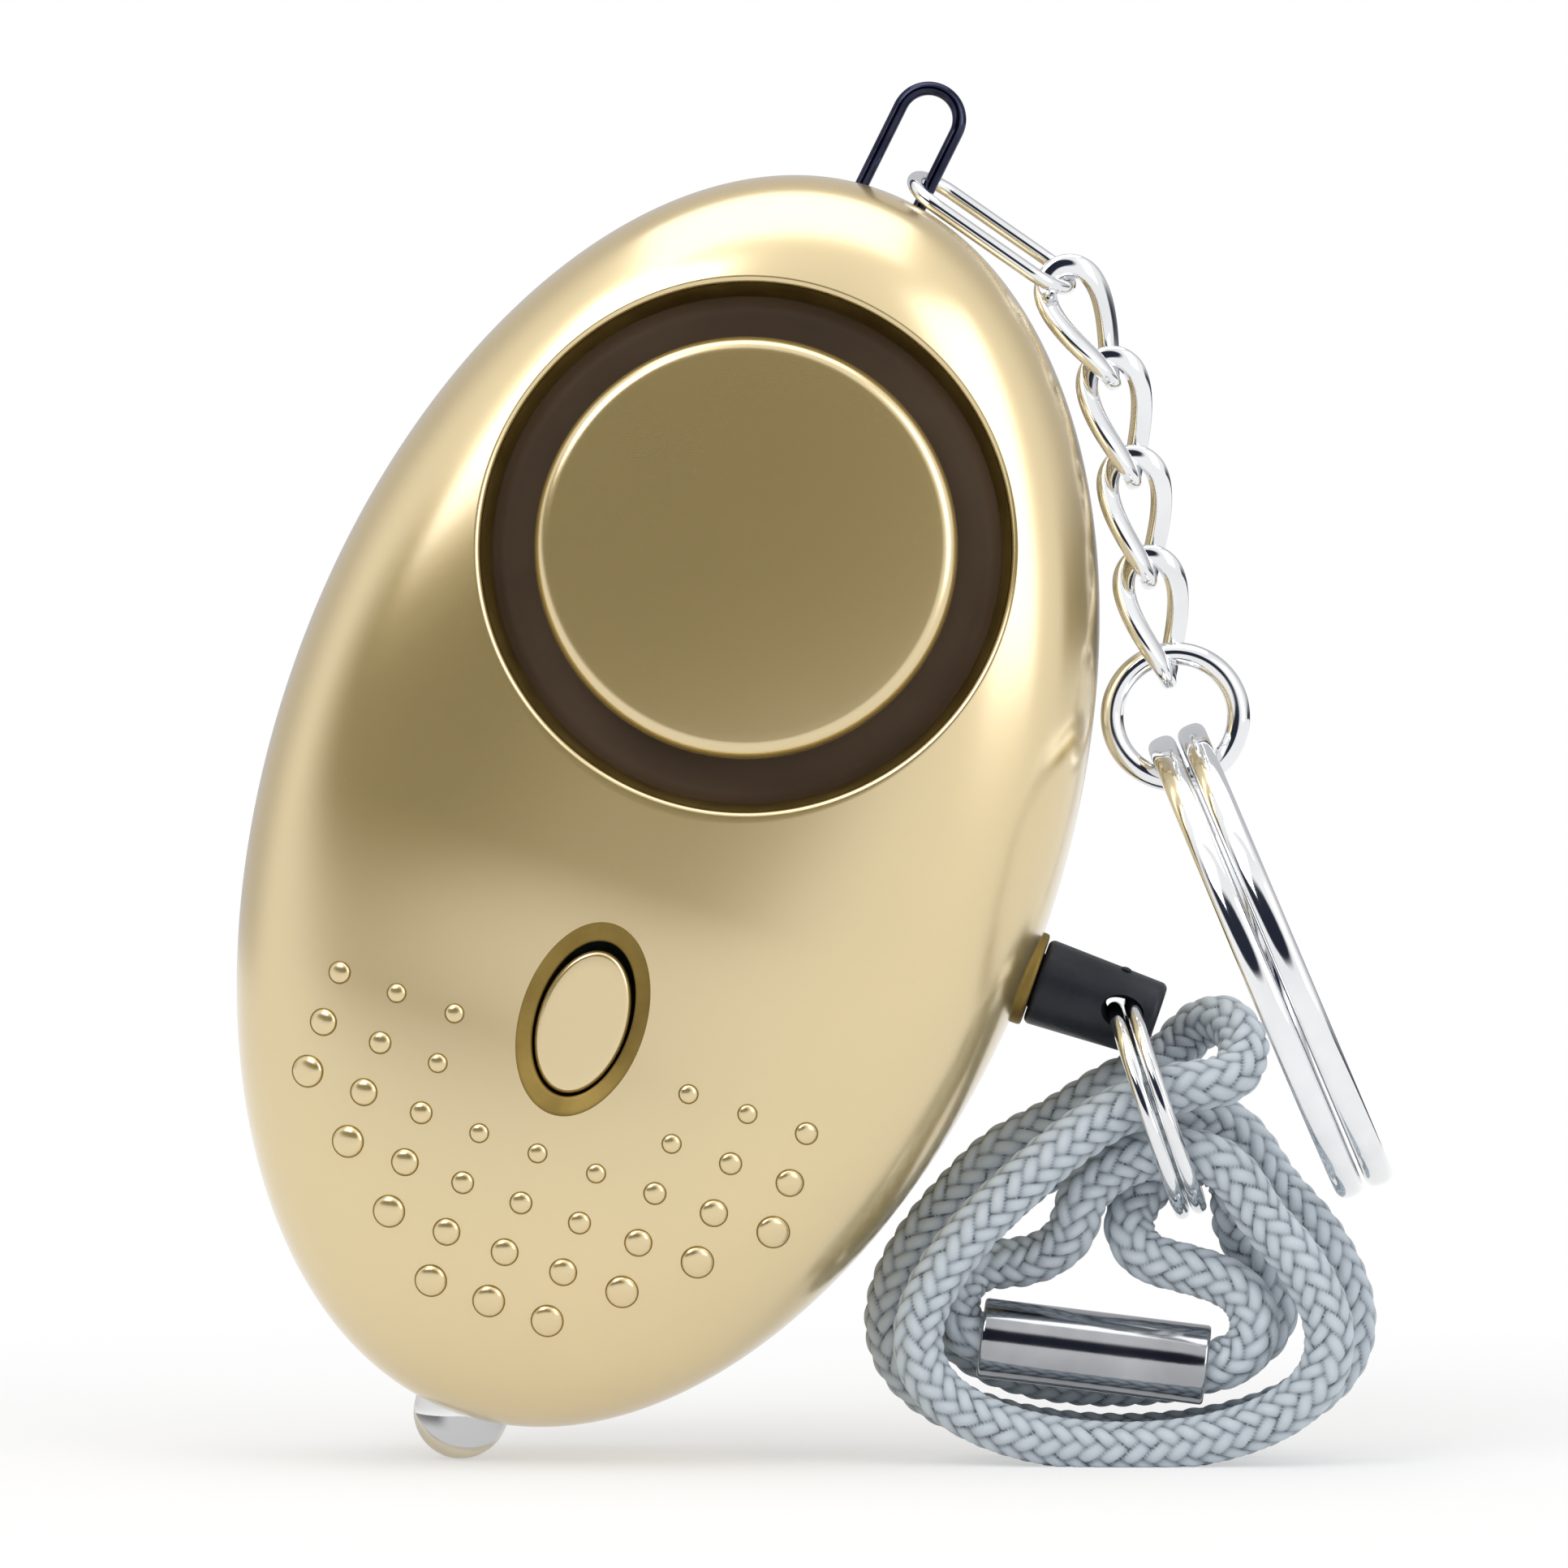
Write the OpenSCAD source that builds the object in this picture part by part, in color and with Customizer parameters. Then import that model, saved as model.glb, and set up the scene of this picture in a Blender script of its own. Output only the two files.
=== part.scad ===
// Personal safety alarm: a leaning oval casing on its lamp, with a pull pin, wrist cord and key chain.
// Millimetres. +Z is up, +X is to the right and -Y is the casing's front.

/* [Casing] */
// Length of the casing, tip to tip
casing_l = 65; // [64:0.5:75]
// Width of the casing
casing_w = 40; // [39:0.5:48]
// Depth of the front half, from the seam to its crown
front_d = 10.5; // [10:0.1:13]
// Height of the rear half's crown that its flat back cuts off
back_cut = 1; // [0.8:0.1:2]
// Wall of both halves
wall = 1.4; // [1.2:0.1:1.6]
// Roundness of the crown, 2 is an ellipsoid and more is flatter
crown = 3.2; // [2.6:0.1:4]
// Open seam between the halves
seam = 0.12; // [0.06:0.02:0.2]
// Lean of the casing to the right, in degrees
lean = 18.9; // [17:0.1:20]
// Place of the casing's centre, from the middle of the part
casing_x = -7.5; // [-8:0.1:-7]

/* [Siren] */
// Diameter of the siren's recess
siren_d = 26.8; // [24:0.1:28]
// Distance from the casing's top tip to the middle of the siren
siren_top = 19.75; // [19:0.05:20.5]
// Tilt of the siren's face, up from straight ahead, in degrees
siren_tilt = 4; // [0:0.5:6]
// Wall of the collar behind the recess
collar_wall = 1.2; // [0.8:0.1:1.4]
// Depth of the recess below the casing's crown
siren_depth = 4.1; // [3.7:0.1:4.5]
// Thickness of the siren's floor
siren_floor_t = 1; // [0.8:0.1:1.2]
// Diameter of the cap in the middle of the recess
cap_d = 20.9; // [19:0.1:22]
// Depth of the cap's middle below the casing's crown
cap_low = 0.8; // [0.6:0.1:1.3]
// Thickness of the cap at its edge
cap_t = 1.4; // [1:0.1:1.8]
// Rise of the cap's face from its edge to its middle
cap_rise = 0.5; // [0.3:0.1:0.8]
// Diameter of the post that carries the cap
cap_post_d = 9; // [6:0.5:12]
// Diameter of the sounder disc
sounder_d = 20; // [18:0.5:21]
// Thickness of the sounder disc
sounder_t = 0.3; // [0.2:0.05:0.4]
// Diameter of the ceramic on the sounder
ceramic_d = 14; // [12:0.5:15]
// Thickness of the ceramic
ceramic_t = 0.25; // [0.2:0.05:0.35]
// Number of sound slots in the floor of the recess
slot_count = 12; // [8:1:16]

/* [Button] */
// Distance from the casing's lower tip to the button
button_up = 21.3; // [20.9:0.1:21.7]
// Length of the dished edge round the button
dish_l = 9.9; // [9.4:0.1:10.4]
// Width of the dished edge round the button
dish_w = 6.2; // [5.9:0.1:6.6]
// Depth of the dished edge
dish_d = 0.7; // [0.5:0.05:0.8]
// Length of the button
button_l = 7.3; // [7:0.05:7.4]
// Width of the button
button_w = 4.4; // [4.2:0.05:4.5]
// Gap at each side of the button
button_gap = 0.15; // [0.1:0.05:0.25]
// Gap over the button's upper end, which is the wider one
button_top_gap = 0.5; // [0.3:0.05:0.6]
// Depth of the button's face below the casing's face
button_low = 0.45; // [0.4:0.05:0.6]
// Travel of the button when it is pressed
button_travel = 0.4; // [0.3:0.05:0.5]

/* [Grip dots] */
// Spacing of the columns of dots
dot_dx = 3.05; // [2.9:0.05:3.3]
// Spacing of the rows of dots
dot_dz = 2.6; // [2.4:0.05:2.7]
// Distance from the casing's lower tip to the lowest row
dot_up = 6.5; // [6:0.1:7]
// Diameter of the largest dots, at the foot of each column
dot_big = 1.55; // [1.4:0.05:1.7]
// Diameter of the smallest dots
dot_small = 0.9; // [0.8:0.05:1]
// Height of a dot
dot_h = 0.3; // [0.2:0.05:0.4]

/* [Lamp] */
// Diameter of the lamp
lamp_d = 4.8; // [4.6:0.05:5]
// Length of the lamp from its dome's centre to its foot
lamp_l = 6; // [5:0.1:6.5]
// Diameter of the lamp's foot flange
lamp_flange_d = 5.6; // [5.4:0.1:6]
// Thickness of the lamp's foot flange
lamp_flange_t = 1; // [0.8:0.1:1.2]
// Spacing of the lamp's leads
lead_pitch = 2.54; // [2:0.02:2.6]
// Diameter of a lead
lead_d = 0.5; // [0.4:0.05:0.6]

/* [Pull pin] */
// Distance of the pin below the casing's centre
pin_z = 2.5; // [2.2:0.1:2.8]
// Diameter of the pin's shaft
pin_d = 2.8; // [2.6:0.05:3]
// Diameter of the pin's thin end between the contacts
pin_tip_d = 1.2; // [1:0.05:1.3]
// Diameter of the pin's head at the casing
pin_head_d = 4.4; // [4.2:0.05:4.6]
// Diameter of the pin's head at its free end
pin_end_d = 3.9; // [3.8:0.05:4.2]
// Length of the pin's head
pin_head_l = 6.2; // [6:0.05:6.4]
// Travel of the pin until it leaves its bore
pin_travel = 6; // [5.5:0.1:6]
// Radial clearance of the pin in its bore
pin_play = 0.06; // [0.04:0.01:0.1]
// Diameter of the boss that the pin goes into
boss_d = 4.8; // [4.6:0.1:5]
// Height of the boss outside the casing
boss_h = 0.35; // [0.3:0.05:0.5]
// Gap between the boss and the pin's head
pin_gap = 0.2; // [0.15:0.05:0.3]
// Diameter of the cross hole for the ring
pin_hole_d = 2.5; // [2.4:0.05:2.6]
// Distance of the cross hole from the head's free end
pin_hole_in = 1.75; // [1.7:0.05:1.8]

/* [Pin ring] */
// Outside diameter of the pin ring
pin_ring_d = 11.5; // [11.4:0.05:11.6]
// Wire of the pin ring
pin_ring_wire = 0.8; // [0.7:0.05:0.85]
// Distance between the two turns of the pin ring
pin_ring_pitch = 0.88; // [0.86:0.01:0.9]
// Lean of the pin ring, in degrees from hanging straight
pin_ring_lean = 18.5; // [18:0.5:19]

/* [Wrist cord] */
// Diameter of the cord
cord_d = 2.4; // [2.2:0.05:2.45]
// Outside diameter of the ferrule
ferrule_d = 4; // [3.8:0.05:4.1]
// Bore of the ferrule
ferrule_bore = 2.7; // [2.6:0.05:3]
// Length of the ferrule
ferrule_l = 11.4; // [11:0.1:11.6]

/* [Key chain] */
// Wire of the loop on the casing
loop_wire = 0.7; // [0.6:0.05:0.8]
// Distance between the loop's legs
loop_w = 3.1; // [3:0.05:3.3]
// Height of the loop above the casing
loop_h = 6.1; // [6:0.1:6.6]
// Offset of the loop to the right of the casing's axis
loop_x = 0.7; // [0.5:0.05:0.9]
// Lean of the loop to the right of the casing's axis, in degrees
loop_lean = 7.5; // [4:0.5:9]
// Wire of the end link
end_wire = 0.75; // [0.65:0.05:0.85]
// Length of the end link
end_l = 10.1; // [10:0.05:10.4]
// Width of the end link
end_w = 4.4; // [4.2:0.1:4.6]
// Turn of the end link about its own length, in degrees from edge-on
end_turn = 18; // [14:1:20]
// Wire of the twisted links
link_wire = 1.1; // [1:0.05:1.15]
// Length of a twisted link
link_l = 7.35; // [7.2:0.05:7.5]
// Width of a twisted link
link_w = 4.2; // [4.1:0.05:4.4]
// Twist of a link from its middle to its end, in degrees
link_twist = 45; // [44:0.5:46]
// Outside diameter of the jump ring
jump_d = 7.5; // [7.3:0.05:7.7]
// Wire of the jump ring
jump_wire = 1.15; // [1.05:0.05:1.2]
// Outside diameter of the key ring
key_ring_d = 25; // [24:0.1:25.5]
// Width of one turn of the key ring
key_turn_w = 1.45; // [1.35:0.05:1.5]
// Thickness of the key ring
key_turn_t = 1.3; // [1.2:0.05:1.4]
// Gap between the two turns of the key ring
key_turn_gap = 0.15; // [0.1:0.01:0.2]
// Gap between chain pieces where they hang on each other
chain_gap = 0.07; // [0.05:0.01:0.1]

/* [Inside] */
// Diameter of a button cell
cell_d = 11.6; // [11.2:0.1:11.6]
// Height of a button cell
cell_h = 5.4; // [5:0.1:5.4]
// Number of button cells
cell_count = 3; // [3:1:3]
// Distance from the casing's lower tip to the cells' axis
cell_up = 18.5; // [18.3:0.1:18.7]
// Gap between the circuit board and the cells
cell_gap = 0.65; // [0.5:0.05:0.9]
// Gap between the cells and the flat back's inside
cell_back = 0.25; // [0.2:0.05:0.6]
// Thickness of the contact plates
plate_t = 0.3; // [0.2:0.05:0.4]
// Thickness of the circuit board
board_t = 1; // [0.8:0.1:1]
// Width of the circuit board
board_w = 19; // [18.6:0.1:19.4]
// Distance from the casing's crown to the board's front face
board_in = 5.6; // [5.5:0.05:5.8]
// Height of the switch
switch_h = 2; // [1.8:0.1:2.1]
// Side of the switch
switch_w = 4.5; // [4:0.1:5]
// Diameter of a screw's shank
screw_d = 2; // [1.8:0.1:2.2]
// Diameter of a screw's head
screw_head_d = 3.6; // [3.4:0.1:3.8]
// Height of a screw's head
screw_head_h = 1.4; // [1.2:0.1:1.6]
// Distance from the seam to the seat of the screw heads
screw_seat_y = 4.6; // [4.4:0.1:4.8]

/* [Hidden] */
$fn = 48;
fine = 64;
half_l = casing_l / 2;
half_w = casing_w / 2;
casing_z = half_l * cos(lean) + lamp_d / 2;

// Sides round the casing and steps from its rim to its crown
around = 72;
steps = 11;
clear = 0.1;
past = 1;

// Sizes that follow from the ones above
siren_r = siren_d / 2;
collar_r = siren_r + collar_wall;
siren_z = half_l - siren_top;
button_z = half_l - button_up;
dot_z = half_l - dot_up;
cell_z = half_l - cell_up;
siren_floor_y = front_d - siren_depth;
cap_y = front_d - cap_low;
board_y = front_d - board_in;
cell_y = -board_y + board_t + cell_gap + cell_d / 2;
back_y = cell_y + cell_d / 2 + cell_back + wall;
rear_d = back_y + back_cut;
siren_back_y = siren_floor_y - siren_floor_t;
hole_l = button_l + button_gap + button_top_gap;
hole_w = button_w + 2 * button_gap;
button_drop = (button_top_gap - button_gap) / 2;
button_face_y = surface_y(0, -button_z) + button_low;
stem_y = board_y + switch_h + 0.8;
pin_face_x = half_w + boss_h + pin_gap;
pin_end_x = pin_face_x + pin_head_l;
pin_in_x = 11;
pin_hole_x = pin_end_x - pin_hole_in;
lamp_z = -half_l;
cell_stack = cell_count * cell_h;
board_top = siren_z - sounder_d / 2 + 2.5;
board_post_top = siren_z - collar_r - 4.05;
board_low = 11.3 - half_l;
screw_boss_r = 2.2;
screw_rear_r = 2.9;
screw_l = 8.4;
screw_out = collar_r + screw_rear_r + 0.15;
screw_places = [
    for (s = [1, -1]) each [[s * screw_out * sin(53.2), siren_z - screw_out * cos(53.2)], [s * 8.2, 8.9 - half_l]]
];
board_posts = [for (s = [1, -1]) each [[s * 7.8, board_post_top], [s * 7.8, board_low + 1.8]]];
board_post_d = 2.4;
rib_t = 1;
rib_y = 0.6;

// Chain angles, in degrees from hanging straight down, to the right, as the chain rests along the casing
end_lean_least = 55;
link_leans_least = [25, 12, 9, 11];
jump_lean_least = 11;
key_lean = 23;

// A point of the leaning casing, in the part's frame
function in_part(p) = [
    casing_x + p.x * cos(lean) + p.z * sin(lean),
    p.y,
    casing_z - p.x * sin(lean) + p.z * cos(lean)
];

// The way that something hangs when it leans a given angle to the right
function hang(a) = [sin(a), 0, -cos(a)];

// Distance of the front face from the seam, over a point of the casing
function face_drop(x, z) = min(1, pow(norm([x / half_w, z / half_l]), crown));
function surface_y(x, z) = -front_d * pow(1 - face_drop(x, z), 1 / crown);

// Chain places: each piece hangs on the one before
// The loop leans a little more than the casing, about the point where its axis leaves it
loop_across = [cos(loop_lean), 0, -sin(loop_lean)];
loop_leg = in_part([loop_x, 0, half_l] + loop_w / 2 * loop_across + 1.2 * [sin(loop_lean), 0, cos(loop_lean)]);
end_top = loop_leg - (loop_wire / 2 + end_wire / 2 + chain_gap) * [cos(lean + loop_lean), 0, -sin(lean + loop_lean)];
link_c = link_l - link_wire;
link_step = link_wire + chain_gap;
first_step = (end_wire + link_wire) / 2 + chain_gap + 0.05;

// Whether a point keeps a distance from the casing's outline, and the least lean that keeps a hanging piece off it
function off_casing(p, keep) = let (
    q = [p.x - casing_x, p.z - casing_z],
    x = q.x * cos(lean) - q.y * sin(lean),
    z = q.x * sin(lean) + q.y * cos(lean)
) norm([x / (half_w + keep), z / (half_l + keep)]) >= 1;
function clear_lean(from, back, l, keep, a) =
    a > 90 || min([for (i = [2 : 6]) off_casing(from + (l * i / 6 - back) * hang(a), keep) ? 1 : 0]) == 1
        ? a : clear_lean(from, back, l, keep, a + 1);

end_keep = end_wire / 2 + (end_w - end_wire) / 2 * sin(end_turn) + chain_gap / 2;
end_lean = clear_lean(end_top, 0, end_l - end_wire, end_keep, end_lean_least);
end_low = end_top + (end_l - end_wire) * hang(end_lean);
chain_keep = link_w / 2 - 0.3;
lean_1 = clear_lean(end_low, first_step, link_c, chain_keep, link_leans_least[0]);
low_1 = end_low + (link_c - first_step) * hang(lean_1);
lean_2 = clear_lean(low_1, link_step, link_c, chain_keep, link_leans_least[1]);
low_2 = low_1 + (link_c - link_step) * hang(lean_2);
lean_3 = clear_lean(low_2, link_step, link_c, chain_keep, link_leans_least[2]);
low_3 = low_2 + (link_c - link_step) * hang(lean_3);
lean_4 = clear_lean(low_3, link_step, link_c, chain_keep, link_leans_least[3]);
low_4 = low_3 + (link_c - link_step) * hang(lean_4);
link_leans = [lean_1, lean_2, lean_3, lean_4];
link_lows = [low_1, low_2, low_3, low_4];
jump_r = (jump_d - jump_wire) / 2;
jump_back = (link_wire + jump_wire) / 2 + chain_gap;
function ring_lean(a) = a > 90 || off_casing(low_4 + (jump_r - jump_back) * hang(a), jump_d / 2 + 2 * chain_gap)
    ? a : ring_lean(a + 1);
jump_lean = ring_lean(jump_lean_least);
jump_top = low_4 - jump_back * hang(jump_lean);
jump_mid = jump_top + jump_r * hang(jump_lean);
key_r = (key_ring_d - key_turn_t) / 2;
key_pitch = key_turn_w + key_turn_gap;
key_seat = 0.55;
key_top = jump_mid + (jump_r - (jump_wire + key_turn_t) / 2 - chain_gap - key_seat) * hang(6);
key_mid = key_top + key_r * hang(key_lean);

// Pin ring: it hangs in the cross hole, whose wire sags a little across the head
pin_hole = in_part([pin_hole_x, 0, -pin_z]);
pin_ring_r = (pin_ring_d - pin_ring_wire) / 2;
pin_ring_sag = 0.18;
pin_ring_mid = pin_hole + [0, 0, pin_ring_sag] + pin_ring_r * hang(pin_ring_lean);

// Ferrule: its middle and its slope down to the right, in degrees
// The cord's places below are drawn for a pin ring in one place, and move with it
cord_shift = pin_ring_mid - [17.043, 0, 17.787];
ferrule_mid = [13.9, -1, 5.6] + cord_shift;
ferrule_slope = 6.9;
ferrule_way = [cos(ferrule_slope), 0, -sin(ferrule_slope)];
cord_in = 4.6;

// Cord route: three pear-shaped turns of the hanging bundle, with joins chosen by hand between them
pinch = 0.2;
function turn_point(a, mid, wide, low, high, deep) = [
    mid + wide * (sin(a) - pinch * sin(2 * a)),
    deep,
    (low + high) / 2 + (high - low) / 2 * cos(a)
];
// One turn from angle a0 to a1, 0 at the top and 90 at the right, as its depth goes from d0 to d1
function turn(a0, a1, mid, wide, low, high, d0, d1, n = 18) = [
    for (i = [0 : n]) turn_point(a0 + (a1 - a0) * i / n, mid, wide, low, high, d0 + (d1 - d0) * i / n)
];
cord_low = cord_d * 0.4;
ferrule_in = [for (k = [0.5 * cord_in, 0.8 * cord_in, ferrule_l / 2]) ferrule_mid - k * ferrule_way];
ferrule_out = [for (k = [ferrule_l / 2, 0.8 * cord_in, 0.5 * cord_in]) ferrule_mid + k * ferrule_way];
cord_start = [
    [7.6, -1, 6.5], [7.1, -0.7, 7.1], [6.9, -0.3, 7.9], [7.1, 0.1, 8.7], [7.6, 0.4, 9.4], [8.6, 0.6, 9.8],
    [10.3, 0.6, 10], [11.8, 0.2, 10.6], [12.8, -0.3, 11.7], [13.2, -0.8, 13], [14.2, -1.1, 14.3],
    [15.7, -1.5, 15.2], [17.8, -2, 15.6], [19.6, -2.3, 15.4], [21, -2.3, 14.4]
];
cord_bight = [
    [11.7, -3.3, 15.4], [14, -3.2, 17.1], [16.8, -2.9, 18.5], [18.6, -2.6, 19], [20.1, -2.1, 19.2],
    [21.1, -1.2, 19.8], [21.4, -0.1, 20.8], [21, 1.1, 21.7], [20, 2.3, 22.1], [18.8, 3.1, 21.5],
    [17.6, 3, 20.2], [16.4, 2.4, 19.5], [14.2, 1.8, 18.4], [11.8, 1.4, 16.9]
];
cord_behind = [
    [21.8, 3.3, 15.6], [20.5, 3.5, 16.8], [19, 3.4, 17.1], [17.4, 3.2, 16.7],
    [15.4, 3.3, 16.1], [13.3, 3.4, 15.3], [11.5, 3.5, 14.6]
];
cord_end = [
    [21, 1.1, 13], [20.9, 0.8, 13.9], [20.4, 0.6, 14.7], [19.6, 0.6, 15.1], [18.6, 0.7, 15], [17.8, 0.9, 14.7],
    [17, 1, 14.2], [16.2, 0.9, 13.3], [15.7, 0.6, 12.3], [15.8, 0.2, 11.2], [16.6, -0.1, 10.3],
    [17.8, -0.4, 9.9], [19, -0.6, 9.6], [20.2, -0.7, 9.2], [21.2, -0.8, 8.6], [21.8, -0.9, 7.7],
    [21.9, -1, 6.6], [21.4, -1, 5.6], [20.5, -1, 5]
];
cord_drawn = concat(
    cord_start,
    turn(62, 310, 15.4, 9.6, cord_low, 16.6, -2.1, -3.3),
    cord_bight,
    turn(-48, -298, 15.2, 10.9, cord_low, 18.4, 1.1, 3.2),
    cord_behind,
    turn(-50, -286, 14.6, 7.8, 3.8, 15.8, 3.8, 1.8),
    cord_end
);
cord_route = concat(ferrule_in, [for (p = cord_drawn) p + cord_shift], ferrule_out);
cord_sides = 6;
cord_steps = len(cord_route) - 1;

// Length of the cord, and its least gap to itself along stretches more than three diameters apart
cord_runs = [for (i = [1 : cord_steps]) norm(cord_route[i] - cord_route[i - 1])];
function running(v, i = 0, sum = 0) = i > len(v) ? [] : concat([sum], running(v, i + 1, sum + (i < len(v) ? v[i] : 0)));
cord_at = running(cord_runs);
function apart(p, a, b) = let (
    ab = b - a,
    t = max(0, min(1, (p - a) * ab / (ab * ab)))
) norm(p - a - t * ab);
cord_gap = min([
    for (i = [0 : cord_steps], j = [1 : cord_steps])
        if (abs(cord_at[i] - cord_at[j]) > 3 * cord_d && abs(cord_at[i] - cord_at[j - 1]) > 3 * cord_d)
            apart(cord_route[i], cord_route[j - 1], cord_route[j])
]) - cord_d;
echo(cord_length = cord_at[cord_steps], cord_least_gap = cord_gap);

// Colours of the finishes
gold = [0.8, 0.71, 0.5];
dark_brown = [0.2, 0.15, 0.11];
steel = [0.8, 0.81, 0.84];
black = [0.14, 0.15, 0.18];
cord_grey = [0.6, 0.64, 0.69];
clear_glass = [0.85, 0.9, 0.95];
brass = [0.8, 0.65, 0.3];
board_green = [0.1, 0.35, 0.2];

// Places of the casing's own frame: its middle, leaning with it
module in_casing() {
    translate([casing_x, 0, casing_z]) rotate([0, lean, 0]) children();
}

// Places of the siren's own frame: the middle of its recess, tilted with its face
module in_siren() {
    translate([0, 0, siren_z]) rotate([-siren_tilt, 0, 0]) children();
}

// A cylinder that runs from the front to the back
module along_y(r, y0, y1, x = 0, z = 0) {
    translate([x, y0, z]) rotate([-90, 0, 0]) cylinder(r = r, h = y1 - y0);
}

// Half of the casing's pillow, on one side of the seam (way -1 is the front), with its base at the depth base
module pillow(a, b, d, base, way) {
    rows = concat(
        [[for (i = [0 : around - 1]) [a * cos(360 * i / around), way * base, b * sin(360 * i / around)]]],
        [for (k = [0 : steps - 1]) let (
            t = 90 * k / steps,
            r = pow(cos(t), 2 / crown),
            y = way * (seam / 2 + (d - seam / 2) * pow(sin(t), 2 / crown))
        ) [for (i = [0 : around - 1]) [a * r * cos(360 * i / around), y, b * r * sin(360 * i / around)]]]
    );
    shown = base < seam / 2 ? rows : [for (k = [1 : steps]) rows[k]];
    n = len(shown);
    points = concat([for (row = shown) each row], [[0, way * d, 0]]);
    base_face = [for (i = [0 : around - 1]) i];
    sides = [for (k = [0 : n - 2], i = [0 : around - 1]) let (
        p = k * around + i,
        q = k * around + (i + 1) % around
    ) each [[p, p + around, q], [q, p + around, q + around]]];
    top = [for (i = [0 : around - 1]) [(n - 1) * around + i, n * around, (n - 1) * around + (i + 1) % around]];
    faces = concat([base_face], sides, top);
    flipped = [for (f = faces) [for (i = [len(f) - 1 : -1 : 0]) f[i]]];
    polyhedron(points, way < 0 ? faces : flipped);
}

module outer_half(way) {
    pillow(half_w, half_l, way < 0 ? front_d : rear_d, seam / 2, way);
}

module inner_half(way) {
    pillow(half_w - wall, half_l - wall, (way < 0 ? front_d : rear_d) - wall, -past, way);
}

// Places of the loop's own frame: where its axis leaves the casing, leaning with it
module in_loop() {
    translate([loop_x, 0, half_l]) rotate([0, loop_lean, 0]) children();
}

// An oval of the button's kind, its long axis up, from the depth y0 to y1
module oval(l, w, y0, y1, grow = 1) {
    translate([0, y0, 0]) rotate([-90, 0, 0])
        linear_extrude(height = y1 - y0, scale = grow) scale([w / l, 1]) circle(d = l, $fn = fine);
}

// The boss that the pull pin goes into, on one side of the seam
module pin_boss(way) {
    intersection() {
        translate([half_w - 4.5, 0, -pin_z]) rotate([0, 90, 0]) cylinder(d = boss_d, h = 4.5 + boss_h);
        translate([half_w - 6, way < 0 ? -boss_d - seam / 2 : seam / 2, -pin_z - boss_d])
            cube([10, boss_d, 2 * boss_d]);
    }
}

// Openings that both halves share on the seam: the pin's bore, the lamp's hole and the loop's holes
module seam_openings() {
    translate([half_w - 7, 0, -pin_z]) rotate([0, 90, 0]) cylinder(r = pin_d / 2 + pin_play, h = 12);
    translate([0, 0, -half_l - past]) cylinder(d = lamp_d + 2 * clear, h = 5);
    for (s = [-1, 1])
        in_loop() translate([s * loop_w / 2, 0, -4]) cylinder(d = loop_wire + 2 * clear, h = 5);
}

// A round grip dot that stands on the front face
module dot(x, z, d) {
    sink = 0.8;
    translate([x, surface_y(x, z), z]) rotate([90, 0, 0]) rotate_extrude()
        polygon([[0, -sink], [d / 2, -sink], [d / 2, 0.05], [d * 0.36, dot_h * 0.75], [0, dot_h]]);
}

// Rows of each column of dots, from the middle column out: its first row and its last
dot_rows = [[0, 3], [0, 3], [1, 5], [2, 5], [3, 5]];
function dot_size(i) = max(dot_small, dot_big - 0.25 * i);

module grip_dots() {
    for (k = [-4 : 4]) {
        rows = dot_rows[abs(k)];
        for (i = [rows[0] : rows[1]])
            dot(k * dot_dx, -dot_z + i * dot_dz, dot_size(i - rows[0]));
    }
}

// Everything that stands inside the front half, as far as the face lets it
module front_inside() {
    intersection() {
        outer_half(-1);
        union() {
            in_siren() along_y(collar_r, -front_d - past, -siren_back_y);
            for (p = screw_places) along_y(screw_boss_r, -front_d, -seam / 2, p.x, p.y);
            for (p = board_posts) along_y(board_post_d / 2, -front_d, -board_y, p.x, p.y);
        }
    }
}

module front_shell() {
    color(gold) in_casing() difference() {
        union() {
            difference() {
                outer_half(-1);
                inner_half(-1);
            }
            front_inside();
            pin_boss(-1);
            grip_dots();
        }
        in_siren() along_y(siren_r, -front_d - past, past);
        translate([0, 0, -button_z]) {
            oval(hole_l, hole_w, -front_d - past, -front_d + 3);
            oval(dish_l, dish_w, surface_y(0, -button_z) - 0.05, surface_y(0, -button_z) + dish_d,
                [hole_w / dish_w, hole_l / dish_l]);
        }
        for (p = screw_places) along_y(screw_d / 2 + 0.02, -screw_l + screw_seat_y - clear, past, p.x, p.y);
        seam_openings();
    }
}

module rear_shell() {
    color(gold) in_casing() difference() {
        union() {
            difference() {
                outer_half(1);
                inner_half(1);
                translate([-half_w, back_y - wall, -half_l]) cube([casing_w, rear_d, casing_l]);
            }
            intersection() {
                outer_half(1);
                union() {
                    translate([-half_w, back_y - wall, -half_l]) cube([casing_w, wall, casing_l]);
                    for (p = screw_places) along_y(screw_rear_r, seam / 2, rear_d, p.x, p.y);
                    for (s = [-1, 1])
                        translate([s * (cell_stack / 2 + 2 * plate_t + 0.9) - rib_t / 2 + s * rib_t / 2, rib_y, -cell_z - 4.5])
                            cube([rib_t, rear_d, 9]);
                    in_loop() translate([0, 0, -4]) along_y(0.8, seam / 2, rear_d);
                }
            }
            pin_boss(1);
        }
        translate([-half_w, back_y, -half_l]) cube([casing_w, rear_d, casing_l]);
        for (p = screw_places) {
            along_y(screw_d / 2 + 0.05, -past, rear_d, p.x, p.y);
            along_y(screw_head_d / 2 + clear, screw_seat_y, rear_d + past, p.x, p.y);
        }
        seam_openings();
    }
}

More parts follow.
